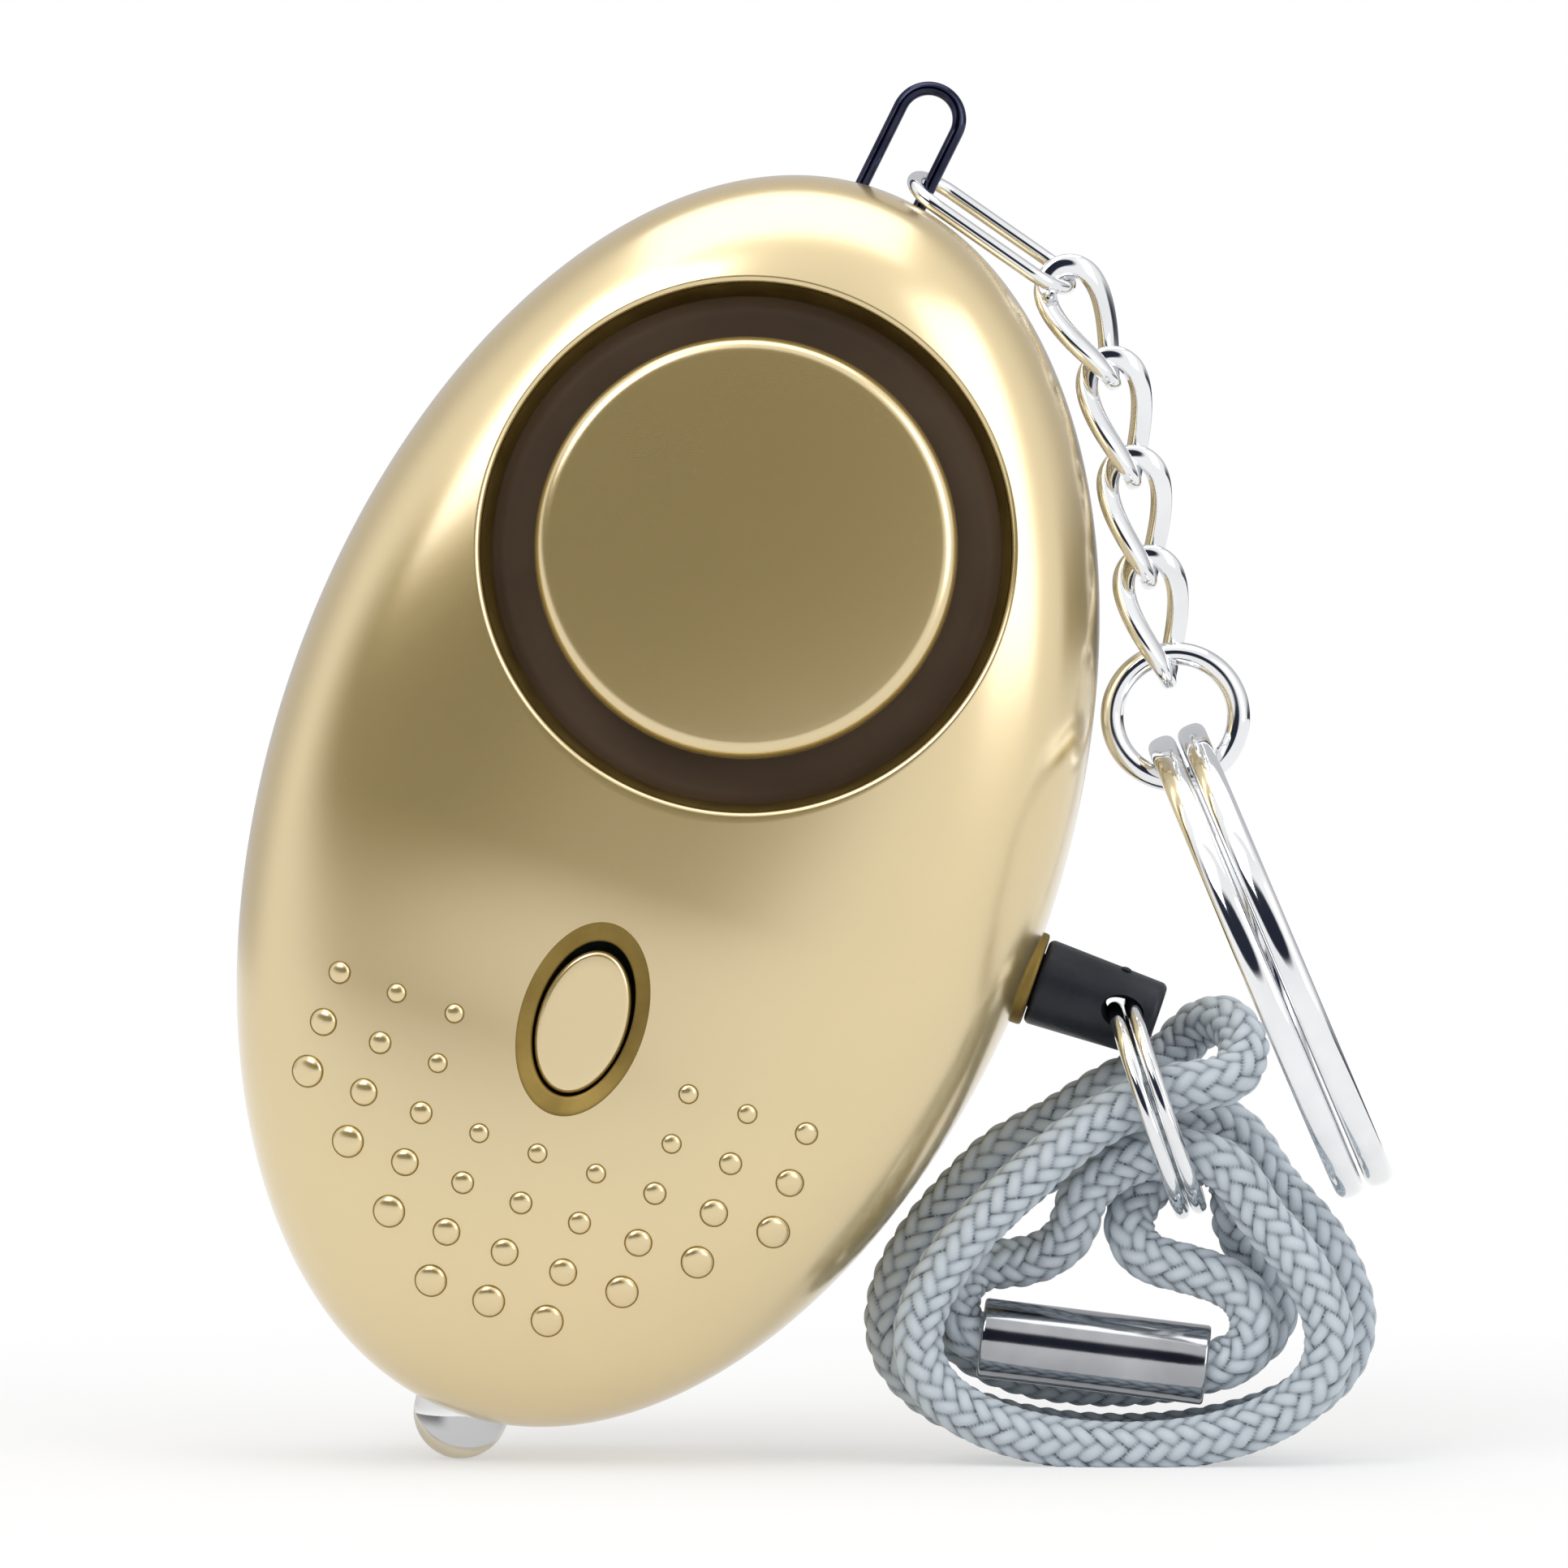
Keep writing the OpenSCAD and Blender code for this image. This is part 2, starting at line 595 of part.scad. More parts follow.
module case_screws() {
    cross_w = 0.5;
    color(steel) in_casing() for (p = screw_places) difference() {
        translate([p.x, screw_seat_y, p.y]) rotate([90, 0, 0]) rotate_extrude()
            polygon([
                [0, -screw_head_h], [screw_head_d * 0.36, -screw_head_h], [screw_head_d / 2, -screw_head_h * 0.55],
                [screw_head_d / 2, 0], [screw_d / 2, 0], [screw_d / 2, screw_l - 1.2], [0.2, screw_l], [0, screw_l]
            ]);
        for (turn = [0, 90]) translate([p.x, screw_seat_y + screw_head_h, p.y]) rotate([0, turn, 0])
            cube([screw_head_d * 0.6, 1.2, cross_w], center = true);
    }
}

// The dark floor of the recess, with its sound slots and the post for the cap
module siren_cup() {
    slot_r = (cap_d / 2 + siren_r) / 2;
    color(dark_brown) in_casing() in_siren() difference() {
        union() {
            along_y(siren_r - clear, -siren_floor_y, -siren_back_y);
            along_y(cap_post_d / 2, -cap_y + cap_t + cap_rise, -siren_floor_y + clear);
        }
        for (k = [0 : slot_count - 1]) rotate([0, 360 * k / slot_count, 0])
            along_y(0.45, -front_d, 0, 0, slot_r);
    }
}

// The cap: a flat-backed button whose face is a shallow dome with a rounded edge
module siren_cap() {
    edge = 0.5;
    back = -cap_rise - cap_t;
    r = cap_d / 2;
    flat_r = r - edge;
    color(gold) in_casing() in_siren() translate([0, -cap_y, 0]) rotate([90, 0, 0]) rotate_extrude($fn = fine)
        polygon(concat(
            [[0, back], [r - 0.2, back], [r, back + 0.2]],
            [for (a = [0 : 15 : 90]) [flat_r + edge * cos(a), -cap_rise - edge + edge * sin(a)]],
            [for (i = [5 : -1 : 0]) [flat_r * i / 6, -cap_rise * pow(i / 6, 2)]]
        ));
}

module sounder_disc() {
    color(brass) in_casing() in_siren() along_y(sounder_d / 2, -siren_back_y, -siren_back_y + sounder_t);
}

module sounder_ceramic() {
    y = -siren_back_y + sounder_t;
    color("ivory") in_casing() in_siren() along_y(ceramic_d / 2, y, y + ceramic_t);
}

module led_button() {
    lip = 0.6;
    under = 0.5;
    inside_y = -front_d + wall + 0.35;
    color(gold) in_casing() translate([0, 0, -button_z - button_drop]) {
        oval(button_l, button_w, button_face_y, inside_y + under / 2);
        oval(button_l + 2 * lip, button_w + 2 * lip, inside_y, inside_y + under);
        along_y(1, inside_y + under / 2, -stem_y, 0, button_drop);
    }
}

module switch_body() {
    color(black) in_casing() translate([-switch_w / 2, -board_y - switch_h, -button_z - switch_w / 2])
        difference() {
            cube([switch_w, switch_h, switch_w]);
            translate([switch_w / 2, 0, switch_w / 2]) along_y(1.15, -clear, switch_h - 0.4);
        }
}

module switch_plunger() {
    color(steel) in_casing() along_y(1.1, -stem_y, -board_y - 1.1, 0, -button_z);
}

module circuit_board() {
    notch_r = 1.5;
    color(board_green) in_casing() difference() {
        translate([-board_w / 2, -board_y, board_low]) cube([board_w, board_t, board_top - board_low]);
        for (s = [-1, 1]) along_y(notch_r, -board_y - past, 0, s * board_w / 2, board_low);
        for (s = [-1, 1]) along_y(lead_d / 2 + 0.05, -board_y - past, 0, s * lead_pitch / 2, board_low + 1.2);
    }
}

module boost_coil() {
    color([0.5, 0.28, 0.14]) in_casing() translate([-5, -board_y + board_t, board_top - 3]) rotate([-90, 0, 0])
        rotate_extrude() polygon([[0, 0], [2.6, 0], [2.6, 0.5], [2.1, 0.5], [2.1, 2.8], [2.6, 2.8], [2.6, 3.3], [0, 3.3]]);
}

module driver_chip() {
    color(black) in_casing() {
        translate([-0.6, -board_y + board_t + 0.1, board_top - 4.8]) cube([4.8, 1.4, 3.8]);
        for (k = [0 : 3], s = [0, 1])
            translate([-0.3 + 1.27 * k, -board_y + board_t, board_top - (s ? 1 : 5.8)]) cube([0.4, 0.4, 1]);
    }
}

module led_lamp() {
    color(clear_glass) in_casing() translate([0, 0, lamp_z]) {
        sphere(d = lamp_d, $fn = fine);
        cylinder(d = lamp_d, h = lamp_l, $fn = fine);
        translate([0, 0, lamp_l - lamp_flange_t]) cylinder(d = lamp_flange_d, h = lamp_flange_t, $fn = fine);
    }
}

// Two leads that rise from the lamp's foot and turn forward into the board
module led_leads() {
    top = board_low + 1.2;
    color(steel) in_casing() for (s = [-1, 1]) translate([s * lead_pitch / 2, 0, 0]) {
        translate([0, 0, lamp_z + lamp_l]) cylinder(d = lead_d, h = top - lamp_z - lamp_l);
        translate([0, 0, top]) sphere(d = lead_d);
        along_y(lead_d / 2, -board_y - 0.4, 0, 0, top);
    }
}

module button_cells() {
    color(steel) in_casing() for (k = [0 : cell_count - 1])
        translate([-cell_stack / 2 + k * cell_h, cell_y, -cell_z]) rotate([0, 90, 0]) rotate_extrude() polygon([
            [0, 0], [cell_d / 2 - 0.4, 0], [cell_d / 2, 0.4], [cell_d / 2, cell_h - 0.8],
            [cell_d / 2 - 0.6, cell_h - 0.4], [cell_d / 2 - 1.4, cell_h - 0.4], [cell_d / 2 - 1.4, cell_h], [0, cell_h]
        ]);
}

// A flat plate on the cells' right end, and a dished spring plate on their left end
module cell_plate() {
    color(brass) in_casing() translate([cell_stack / 2, cell_y, -cell_z]) rotate([0, 90, 0]) {
        cylinder(d = 8, h = plate_t);
        translate([0, 0, plate_t]) cylinder(d = 3, h = 0.9 + plate_t);
    }
}

module cell_spring() {
    color(brass) in_casing() translate([-cell_stack / 2, cell_y, -cell_z]) rotate([0, -90, 0]) rotate_extrude()
        polygon([
            [1, 0], [1.6, 0], [3.6, 0.9], [4, 0.9], [4, 0.9 + plate_t], [3.5, 0.9 + plate_t], [1.5, plate_t], [1, plate_t]
        ]);
}

// The contact pair that the pin's thin end holds apart
contact_t = 0.25;
contact_w = 2;
contact_y = pin_tip_d / 2 + 0.1;
contact_root = 8.4;
leaf_root = contact_root - 1.2;
contact_tip = 13.2;

module fixed_contact() {
    color(brass) in_casing() {
        translate([contact_root, -contact_y - contact_t, -pin_z - contact_w / 2])
            cube([contact_tip - contact_root, contact_t, contact_w]);
        translate([contact_root, -board_y + board_t, -pin_z - contact_w / 2])
            cube([contact_t, board_y - board_t - contact_y, contact_w]);
    }
}

// The post beside it, and the leaf that swings on the post
module contact_post() {
    color(brass) in_casing() translate([leaf_root, -board_y + board_t, -pin_z - contact_w / 2])
        cube([contact_t, board_y - board_t + contact_y + contact_t, contact_w]);
}

module moving_contact() {
    x = leaf_root + contact_t + 0.05;
    color(brass) in_casing() translate([x, contact_y, -pin_z - contact_w / 2])
        cube([contact_tip - x, contact_t, contact_w]);
}

// The black pull pin: a tapered head with a cross hole, a shaft in the bore and a thin end
module pull_pin() {
    round = 0.35;
    tip_x = pin_in_x + 2;
    step_x = contact_tip + 1.2;
    color(black) in_casing() difference() {
        translate([0, 0, -pin_z]) rotate([0, 90, 0]) rotate_extrude($fn = fine) polygon([
            [0, pin_in_x], [0.2, pin_in_x], [pin_tip_d / 2, tip_x], [pin_tip_d / 2, step_x],
            [pin_d / 2, step_x + 1], [pin_d / 2, pin_face_x],
            [pin_head_d / 2 - round, pin_face_x], [pin_head_d / 2, pin_face_x + round],
            [pin_end_d / 2, pin_end_x - round], [pin_end_d / 2 - round, pin_end_x], [0, pin_end_x]
        ]);
        along_y(pin_hole_d / 2, -pin_head_d, pin_head_d, pin_hole_x, -pin_z);
    }
}

// A tube swept along points, with its section's corners given across the plane of turn and along up,
// which is one way for the whole path or a list with one for each point
module swept(path, section, up, closed = false) {
    n = len(path);
    m = len(section);
    points = [for (i = [0 : n - 1]) let (
        before = path[closed ? (i + n - 1) % n : max(i - 1, 0)],
        after = path[closed ? (i + 1) % n : min(i + 1, n - 1)],
        way = (after - before) / norm(after - before),
        out = cross(way, is_list(up[0]) ? up[i] : up),
        side = out / norm(out),
        over = cross(side, way)
    ) each [for (s = section) path[i] + s.x * side + s.y * over]];
    sides = [for (i = [0 : closed ? n - 1 : n - 2], j = [0 : m - 1]) let (
        p = i * m + j,
        q = i * m + (j + 1) % m,
        r = (i + 1) % n * m + j,
        s = (i + 1) % n * m + (j + 1) % m
    ) each [[p, q, r], [q, s, r]]];
    ends = closed ? [] : [
        [for (j = [m - 1 : -1 : 0]) j],
        [for (j = [0 : m - 1]) (n - 1) * m + j]
    ];
    polyhedron(points, concat(sides, ends));
}

// A round section of a given diameter and number of sides
function round_section(d, n) = [for (j = [0 : n - 1]) d / 2 * [cos(360 * (j + 0.5) / n), sin(360 * (j + 0.5) / n)]];

// The path of a two-turn split ring about the Z axis: it steps over between its two turns where they don't lie side by side
split_from = 35;
function split_path(r, pitch, n) = [
    for (i = [0 : n]) let (
        a = split_from + (720 - 2 * split_from) * i / n,
        over = max(0, min(1, (a - 360 + split_from) / (2 * split_from)))
    ) [r * cos(a), r * sin(a), pitch * (over - 0.5)]
];

// A split ring at a place, hanging at a lean, with its step at the back
module split_ring(mid, ring_lean, path, section) {
    translate(mid) rotate([0, -ring_lean, 0]) rotate([0, 90, 0]) rotate([0, 0, 90])
        swept(path, section, [0, 0, 1]);
}

module pin_ring() {
    color(steel) split_ring(pin_ring_mid, pin_ring_lean, split_path(pin_ring_r, pin_ring_pitch, 60),
        round_section(pin_ring_wire, 8));
}

module wrist_cord() {
    color(cord_grey) intersection() {
        swept(cord_route, round_section(cord_d, cord_sides), [0, 1, 0]);
        translate([-50, -20, 0]) cube([100, 40, 50]);
    }
}

module cord_ferrule() {
    color(steel) translate(ferrule_mid) rotate([0, 90 + ferrule_slope, 0]) difference() {
        cylinder(d = ferrule_d, h = ferrule_l, center = true, $fn = fine);
        cylinder(d = ferrule_bore, h = ferrule_l + 2 * past, center = true, $fn = fine);
    }
}

// A long closed link of round wire: two straight rails and two round ends, its top wire at the origin, hanging down
module long_link(l, w, wire) {
    r = (w - wire) / 2;
    rail = l - w;
    translate([0, 0, -r]) rotate([90, 0, 0]) rotate_extrude(angle = 180) translate([r, 0]) circle(d = wire);
    translate([0, 0, -r - rail]) rotate([90, 180, 0]) rotate_extrude(angle = 180) translate([r, 0]) circle(d = wire);
    for (s = [-1, 1]) translate([s * r, 0, -r - rail]) cylinder(d = wire, h = rail);
}

module wire_loop() {
    inside = 5.6;
    color(steel) in_casing() in_loop() translate([0, 0, loop_h - loop_wire / 2])
        long_link(loop_h + inside, loop_w + loop_wire, loop_wire);
}

module end_link() {
    color(steel) translate(end_top) rotate([0, -end_lean, 0]) rotate([0, 0, 90 - end_turn])
        long_link(end_l, end_w, end_wire);
}

// A twisted link: an oval with its top end facing the front and its lower end turned edge-on
function link_path(n = 28) = [
    for (i = [0 : n - 1]) let (
        a = 360 * i / n,
        along = link_c / 2 * cos(a),
        across = (link_w - link_wire) / 2 * sin(a) * (1 + 0.25 * pow(cos(a), 2)),
        turn = link_twist * (1 - cos(a))
    ) [across * cos(turn), across * sin(turn), along]
];

module chain_link(k) {
    color(steel) translate(link_lows[k] - link_c / 2 * hang(link_leans[k])) rotate([0, -link_leans[k], 0])
        swept(link_path(), round_section(link_wire, 8), link_path(), true);
}

module jump_ring() {
    color(steel) translate(jump_mid) rotate([90, 0, 0]) rotate_extrude($fn = fine) translate([jump_r, 0])
        circle(d = jump_wire);
}

module key_ring() {
    w = key_turn_w / 2;
    t = key_turn_t / 2;
    bevel = 0.3;
    section = [
        [t, w - bevel], [t - bevel, w], [bevel - t, w], [-t, w - bevel],
        [-t, bevel - w], [bevel - t, -w], [t - bevel, -w], [t, bevel - w]
    ];
    color(steel) split_ring(key_mid, key_lean, split_path(key_r, key_pitch, 84), section);
}

front_shell();
rear_shell();
case_screws();
siren_cup();
siren_cap();
sounder_disc();
sounder_ceramic();
led_button();
switch_body();
switch_plunger();
circuit_board();
boost_coil();
driver_chip();
led_lamp();
led_leads();
button_cells();
cell_plate();
cell_spring();
fixed_contact();
contact_post();
moving_contact();
pull_pin();
pin_ring();
wrist_cord();
cord_ferrule();
wire_loop();
end_link();
chain_link(0);  // chain_link_1
chain_link(1);  // chain_link_2
chain_link(2);  // chain_link_3
chain_link(3);  // chain_link_4
jump_ring();
key_ring();
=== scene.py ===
"""A personal safety alarm: a leaning gold oval casing with a pull pin, a wrist cord and a key chain."""
import math

import bmesh
import bpy
import numpy as np
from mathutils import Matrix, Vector


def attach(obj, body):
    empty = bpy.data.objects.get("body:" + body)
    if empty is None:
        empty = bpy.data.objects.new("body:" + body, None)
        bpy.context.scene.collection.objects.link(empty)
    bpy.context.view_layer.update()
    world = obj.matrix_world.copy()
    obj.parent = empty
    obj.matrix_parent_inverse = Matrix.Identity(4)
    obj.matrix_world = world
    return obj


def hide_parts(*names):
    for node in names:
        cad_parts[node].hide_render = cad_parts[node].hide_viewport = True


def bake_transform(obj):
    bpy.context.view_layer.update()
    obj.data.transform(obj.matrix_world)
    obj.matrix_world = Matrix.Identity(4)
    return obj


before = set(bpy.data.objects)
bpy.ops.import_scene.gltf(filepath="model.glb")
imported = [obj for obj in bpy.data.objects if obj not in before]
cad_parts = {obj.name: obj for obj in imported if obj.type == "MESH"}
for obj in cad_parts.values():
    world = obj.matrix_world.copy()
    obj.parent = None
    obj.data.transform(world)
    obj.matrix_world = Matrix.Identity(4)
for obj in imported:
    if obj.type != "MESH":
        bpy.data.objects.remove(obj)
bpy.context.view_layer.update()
scene = bpy.context.scene
scene.view_settings.view_transform = "Standard"

# Sizes, in millimetres and shared with the solids. Casing: half sizes, depths and place
MM = 0.001
TURN = 2 * math.pi
LEAN = math.radians(18.9)
HALF_L = 32.5
HALF_W = 20.0
CASING_X = -7.5
CASING_Z = HALF_L * math.cos(LEAN) + 2.4
FRONT_D = 10.5
REAR_D = 11.0
BACK_Y = 10.0
CROWN = 3.2
HALF_SEAM = 0.06

# Siren: its middle above the casing's, its recess, and the cap's radius, depth, rise and edge
SIREN_Z = 12.75
SIREN_R = 13.4
SIREN_TILT = math.radians(4)
SIREN_FLOOR = 6.4
CAP_R = 10.45
CAP_Y = 9.7
CAP_RISE = 0.5
CAP_T = 1.4

# Button: its place, and the half sizes of the dished oval, of the hole in it and of the button
BUTTON_Z = -11.2
BUTTON_DROP = 0.175
BUTTON_DISH = (3.1, 4.95)
BUTTON_HOLE = (2.35, 3.975)
BUTTON_HALF = (2.2, 3.65)

# Pull pin: its height in the casing, the ends of its head along it, the head's radii, and its cross hole
PIN_Z = -2.5
PIN_NEAR = 20.4
PIN_FAR = 26.75
PIN_NEAR_R = 2.2
PIN_FAR_R = 1.96
PIN_HOLE_X = 25.0

# Soft shoulder of the front face below the siren: its step, where it starts and how far it runs
SHOULDER = 0.3
SHOULDER_TOP = -4
SHOULDER_RUN = 9


# Camera: almost straight at the siren's face, a little from the right
def aim_camera():
    """A long lens that takes in a view 78.9 mm wide at the middle of the object."""
    data = bpy.data.cameras.new("camera")
    camera = bpy.data.objects.new("camera", data)
    scene.collection.objects.link(camera)
    target = Vector((-1.71, 0, 34.03)) * MM
    away = Vector((20, -420, 4)) * MM
    camera.location = target + away
    camera.rotation_euler = (-away).to_track_quat("-Z", "Y").to_euler()
    view_width = 78.9 * MM
    data.sensor_width = 36
    data.lens = data.sensor_width * away.length / view_width
    data.clip_start = 0.01
    data.clip_end = 20
    scene.camera = camera


aim_camera()


# Places: the casing leans in the part, and the siren is tilted in the casing
def in_part(p):
    """Casing points to part points: turned by the lean in the casing's plane, then moved to its middle."""
    p = np.asarray(p, float)
    x = CASING_X + p[..., 0] * math.cos(LEAN) + p[..., 2] * math.sin(LEAN)
    z = CASING_Z - p[..., 0] * math.sin(LEAN) + p[..., 2] * math.cos(LEAN)
    return np.stack([x, p[..., 1], z], -1)


def in_casing(p):
    """Siren points to casing points: tilted back about the cross axis, then moved up to its middle."""
    p = np.asarray(p, float)
    y = p[..., 1] * math.cos(SIREN_TILT) + p[..., 2] * math.sin(SIREN_TILT)
    z = SIREN_Z - p[..., 1] * math.sin(SIREN_TILT) + p[..., 2] * math.cos(SIREN_TILT)
    return np.stack([p[..., 0], y, z], -1)


def face_y(x, z):
    """Depth of the front face: a pillow and a soft shoulder.

    The share is 0 in the middle and 1 on the outline. The pillow's height and the share, each to the power
    of the crown, add up to 1. The shoulder is a smooth step below the siren.
    """
    share = np.hypot(x / HALF_W, z / HALF_L)
    pillow = np.clip(1 - share ** CROWN, 0, 1) ** (1 / CROWN)
    down = np.clip((SHOULDER_TOP - z) / SHOULDER_RUN, 0, 1)
    step = SHOULDER * down ** 2 * (3 - 2 * down) * np.clip(1 - share ** 2, 0, 1)
    return step - HALF_SEAM - (FRONT_D - HALF_SEAM) * pillow


def hang(degrees):
    """The way that a piece hangs at a lean to the right."""
    a = math.radians(degrees)
    return np.array([math.sin(a), 0, -math.cos(a)])


# Meshes: grids of points become quads, and a piece is one or more grids
def grid_quads(rows, columns, closed=True, looped=False):
    """Quads between neighbouring rows and columns.

    Closed joins the last column to the first, and looped joins the last row to the first.
    """
    i = np.arange(rows if looped else rows - 1)
    j = np.arange(columns if closed else columns - 1)
    i, j = np.meshgrid(i, j, indexing="ij")
    below = (i + 1) % rows
    right = (j + 1) % columns
    corners = [i * columns + j, i * columns + right, below * columns + right, below * columns + j]
    quads = np.stack(corners, -1)
    return quads.reshape(-1, 4)


def sheet_of(points, closed=True, looped=False, flip=False):
    """A grid of points, rows by columns, as points and quads."""
    rows, columns = points.shape[:2]
    quads = grid_quads(rows, columns, closed, looped)
    return points.reshape(-1, 3), quads[:, ::-1] if flip else quads


def joined(*parts):
    """Several sheets as one set of points and quads."""
    points = []
    quads = []
    count = 0
    for p, q in parts:
        points.append(p)
        quads.append(q + count)
        count += len(p)
    return np.concatenate(points), np.concatenate(quads)


def make_piece(name, sheet, material, body, nodes=(), relief=None):
    """One mesh piece from points in millimetres and quads, smooth, on a body and in place of its solids."""
    points, quads = sheet
    used, quads = np.unique(quads, return_inverse=True)
    points = points[used]
    quads = quads.reshape(-1, 4)
    mesh = bpy.data.meshes.new(name)
    mesh.vertices.add(len(points))
    mesh.vertices.foreach_set("co", (points * MM).astype(np.float32).ravel())
    mesh.loops.add(quads.size)
    mesh.loops.foreach_set("vertex_index", quads.astype(np.int32).ravel())
    mesh.polygons.add(len(quads))
    mesh.polygons.foreach_set("loop_start", np.arange(0, quads.size, 4, dtype=np.int32))
    mesh.polygons.foreach_set("use_smooth", np.ones(len(quads), bool))
    mesh.update(calc_edges=True)
    if relief is not None:
        layer = mesh.attributes.new("relief", "FLOAT", "POINT")
        layer.data.foreach_set("value", relief.astype(np.float32).ravel()[used])
    weld = bmesh.new()
    weld.from_mesh(mesh)
    bmesh.ops.remove_doubles(weld, verts=weld.verts, dist=1e-8)
    weld.to_mesh(mesh)
    weld.free()
    mesh.validate()
    mesh.materials.append(material)
    piece = bpy.data.objects.new(name, mesh)
    scene.collection.objects.link(piece)
    if body:
        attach(piece, body)
    if nodes:
        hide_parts(*nodes)
    return piece


def round_angles(count):
    """Even angles round a circle."""
    return np.arange(count) * TURN / count


def lathe(profile, sides):
    """A profile of radius and height turned about the height axis: rows go along it, columns round it."""
    profile = np.asarray(profile, float)
    a = round_angles(sides)
    x = profile[:, :1] * np.cos(a)
    y = profile[:, :1] * np.sin(a)
    z = np.repeat(profile[:, 1:], sides, 1)
    return np.stack([x, y, z], -1)


def unit(v):
    """Vectors scaled to length 1."""
    return v / np.linalg.norm(v, axis=-1, keepdims=True)


def ways_along(path, closed):
    """The direction of a path at each point, from its neighbours."""
    if closed:
        return unit(np.roll(path, -1, 0) - np.roll(path, 1, 0))
    return unit(np.gradient(path, axis=0))


def tube(path, section, up, closed):
    """A section carried along a path: its first number goes across the path and up, its second along up."""
    way = ways_along(path, closed)
    side = unit(np.cross(way, up))
    over = np.cross(side, way)
    return path[:, None] + section[None, :, :1] * side[:, None] + section[None, :, 1:] * over[:, None]


def disc(radius, sides):
    """A round section of a wire."""
    a = round_angles(sides)
    return radius * np.stack([np.cos(a), np.sin(a)], -1)


def oval_bar(wide, high, power, steps):
    """A flattened section: an oval whose sides swell towards a rectangle as its power goes up from 2."""
    a = (np.arange(steps) + 0.5) * TURN / steps
    x = wide / 2 * np.sign(np.cos(a)) * np.abs(np.cos(a)) ** (2 / power)
    y = high / 2 * np.sign(np.sin(a)) * np.abs(np.sin(a)) ** (2 / power)
    return np.stack([x, y], -1)


END_STEPS = [0.0, 0.5, 0.85]


def capped(points):
    """An open tube's rows with both ends drawn in to a point, in steps that round them."""
    first = points[0].mean(0)
    last = points[-1].mean(0)
    head = [first + (points[0] - first) * k for k in END_STEPS]
    tail = [last + (points[-1] - last) * k for k in END_STEPS[::-1]]
    return np.concatenate([np.stack(head), points, np.stack(tail)])


# Materials: noise scales are per metre
FINE_DEPTH = 0.0001


def new_material(name):
    """An empty material with one shader: the material, its nodes and links, and the shader."""
    material = bpy.data.materials.new(name)
    material.use_nodes = True
    nodes = material.node_tree.nodes
    nodes.clear()
    out = nodes.new("ShaderNodeOutputMaterial")
    shader = nodes.new("ShaderNodeBsdfPrincipled")
    material.node_tree.links.new(shader.outputs["BSDF"], out.inputs["Surface"])
    return material, nodes, material.node_tree.links, shader


def set_inputs(node, values):
    """Sets a node's inputs by their names."""
    for name, value in values.items():
        node.inputs[name].default_value = value


def noise_node(nodes, links, scale, detail):
    """Noise over the piece's own place, in metres."""
    place = nodes.new("ShaderNodeTexCoord")
    noise = nodes.new("ShaderNodeTexNoise")
    set_inputs(noise, {"Scale": scale, "Detail": detail})
    links.new(place.outputs["Object"], noise.inputs["Vector"])
    return noise.outputs["Fac"]


def ramp_node(nodes, links, value, stops):
    """A colour ramp over a value, from pairs of place and colour."""
    ramp = nodes.new("ShaderNodeValToRGB")
    while len(ramp.color_ramp.elements) < len(stops):
        ramp.color_ramp.elements.new(0.5)
    for element, (place, colour) in zip(ramp.color_ramp.elements, stops):
        element.position = place
        element.color = (*colour, 1)
    links.new(value, ramp.inputs["Fac"])
    return ramp.outputs["Color"]


def range_node(nodes, links, value, low, high, start=0.0, stop=1.0, curve="LINEAR"):
    """A value from start to stop spread between low and high."""
    spread = nodes.new("ShaderNodeMapRange")
    spread.interpolation_type = curve
    set_inputs(spread, {"From Min": start, "From Max": stop, "To Min": low, "To Max": high})
    links.new(value, spread.inputs["Value"])
    return spread.outputs["Result"]


def math_node(nodes, links, operation, first, second):
    """Two values put together by an operation."""
    node = nodes.new("ShaderNodeMath")
    node.operation = operation
    links.new(first, node.inputs[0])
    links.new(second, node.inputs[1])
    return node.outputs["Value"]


def length_node(nodes, links, vector):
    """The length of a vector."""
    node = nodes.new("ShaderNodeVectorMath")
    node.operation = "LENGTH"
    links.new(vector, node.inputs[0])
    return node.outputs["Value"]


def bump_node(nodes, links, shader, height, strength, distance=FINE_DEPTH):
    """Relief from a height, on the shader's normal: the distance is in metres."""
    bump = nodes.new("ShaderNodeBump")
    set_inputs(bump, {"Strength": strength, "Distance": distance})
    links.new(height, bump.inputs["Height"])
    links.new(bump.outputs["Normal"], shader.inputs["Normal"])


def finish(name, dark, light, metallic, rough, grain, bump=0.1, bump_scale=None, gloss=0.5):
    """A surface whose colour, roughness and relief wander a little with noise.

    Grain is the scale of the colour's noise, and the relief's is bump_scale or else four times finer.
    """
    material, nodes, links, shader = new_material(name)
    set_inputs(shader, {"Metallic": metallic, "Specular IOR Level": gloss})
    wander = noise_node(nodes, links, grain, 3)
    links.new(ramp_node(nodes, links, wander, [(0.35, dark), (0.65, light)]), shader.inputs["Base Color"])
    links.new(range_node(nodes, links, wander, *rough), shader.inputs["Roughness"])
    relief = noise_node(nodes, links, bump_scale or grain * 4, 2)
    bump_node(nodes, links, shader, relief, bump)
    return material


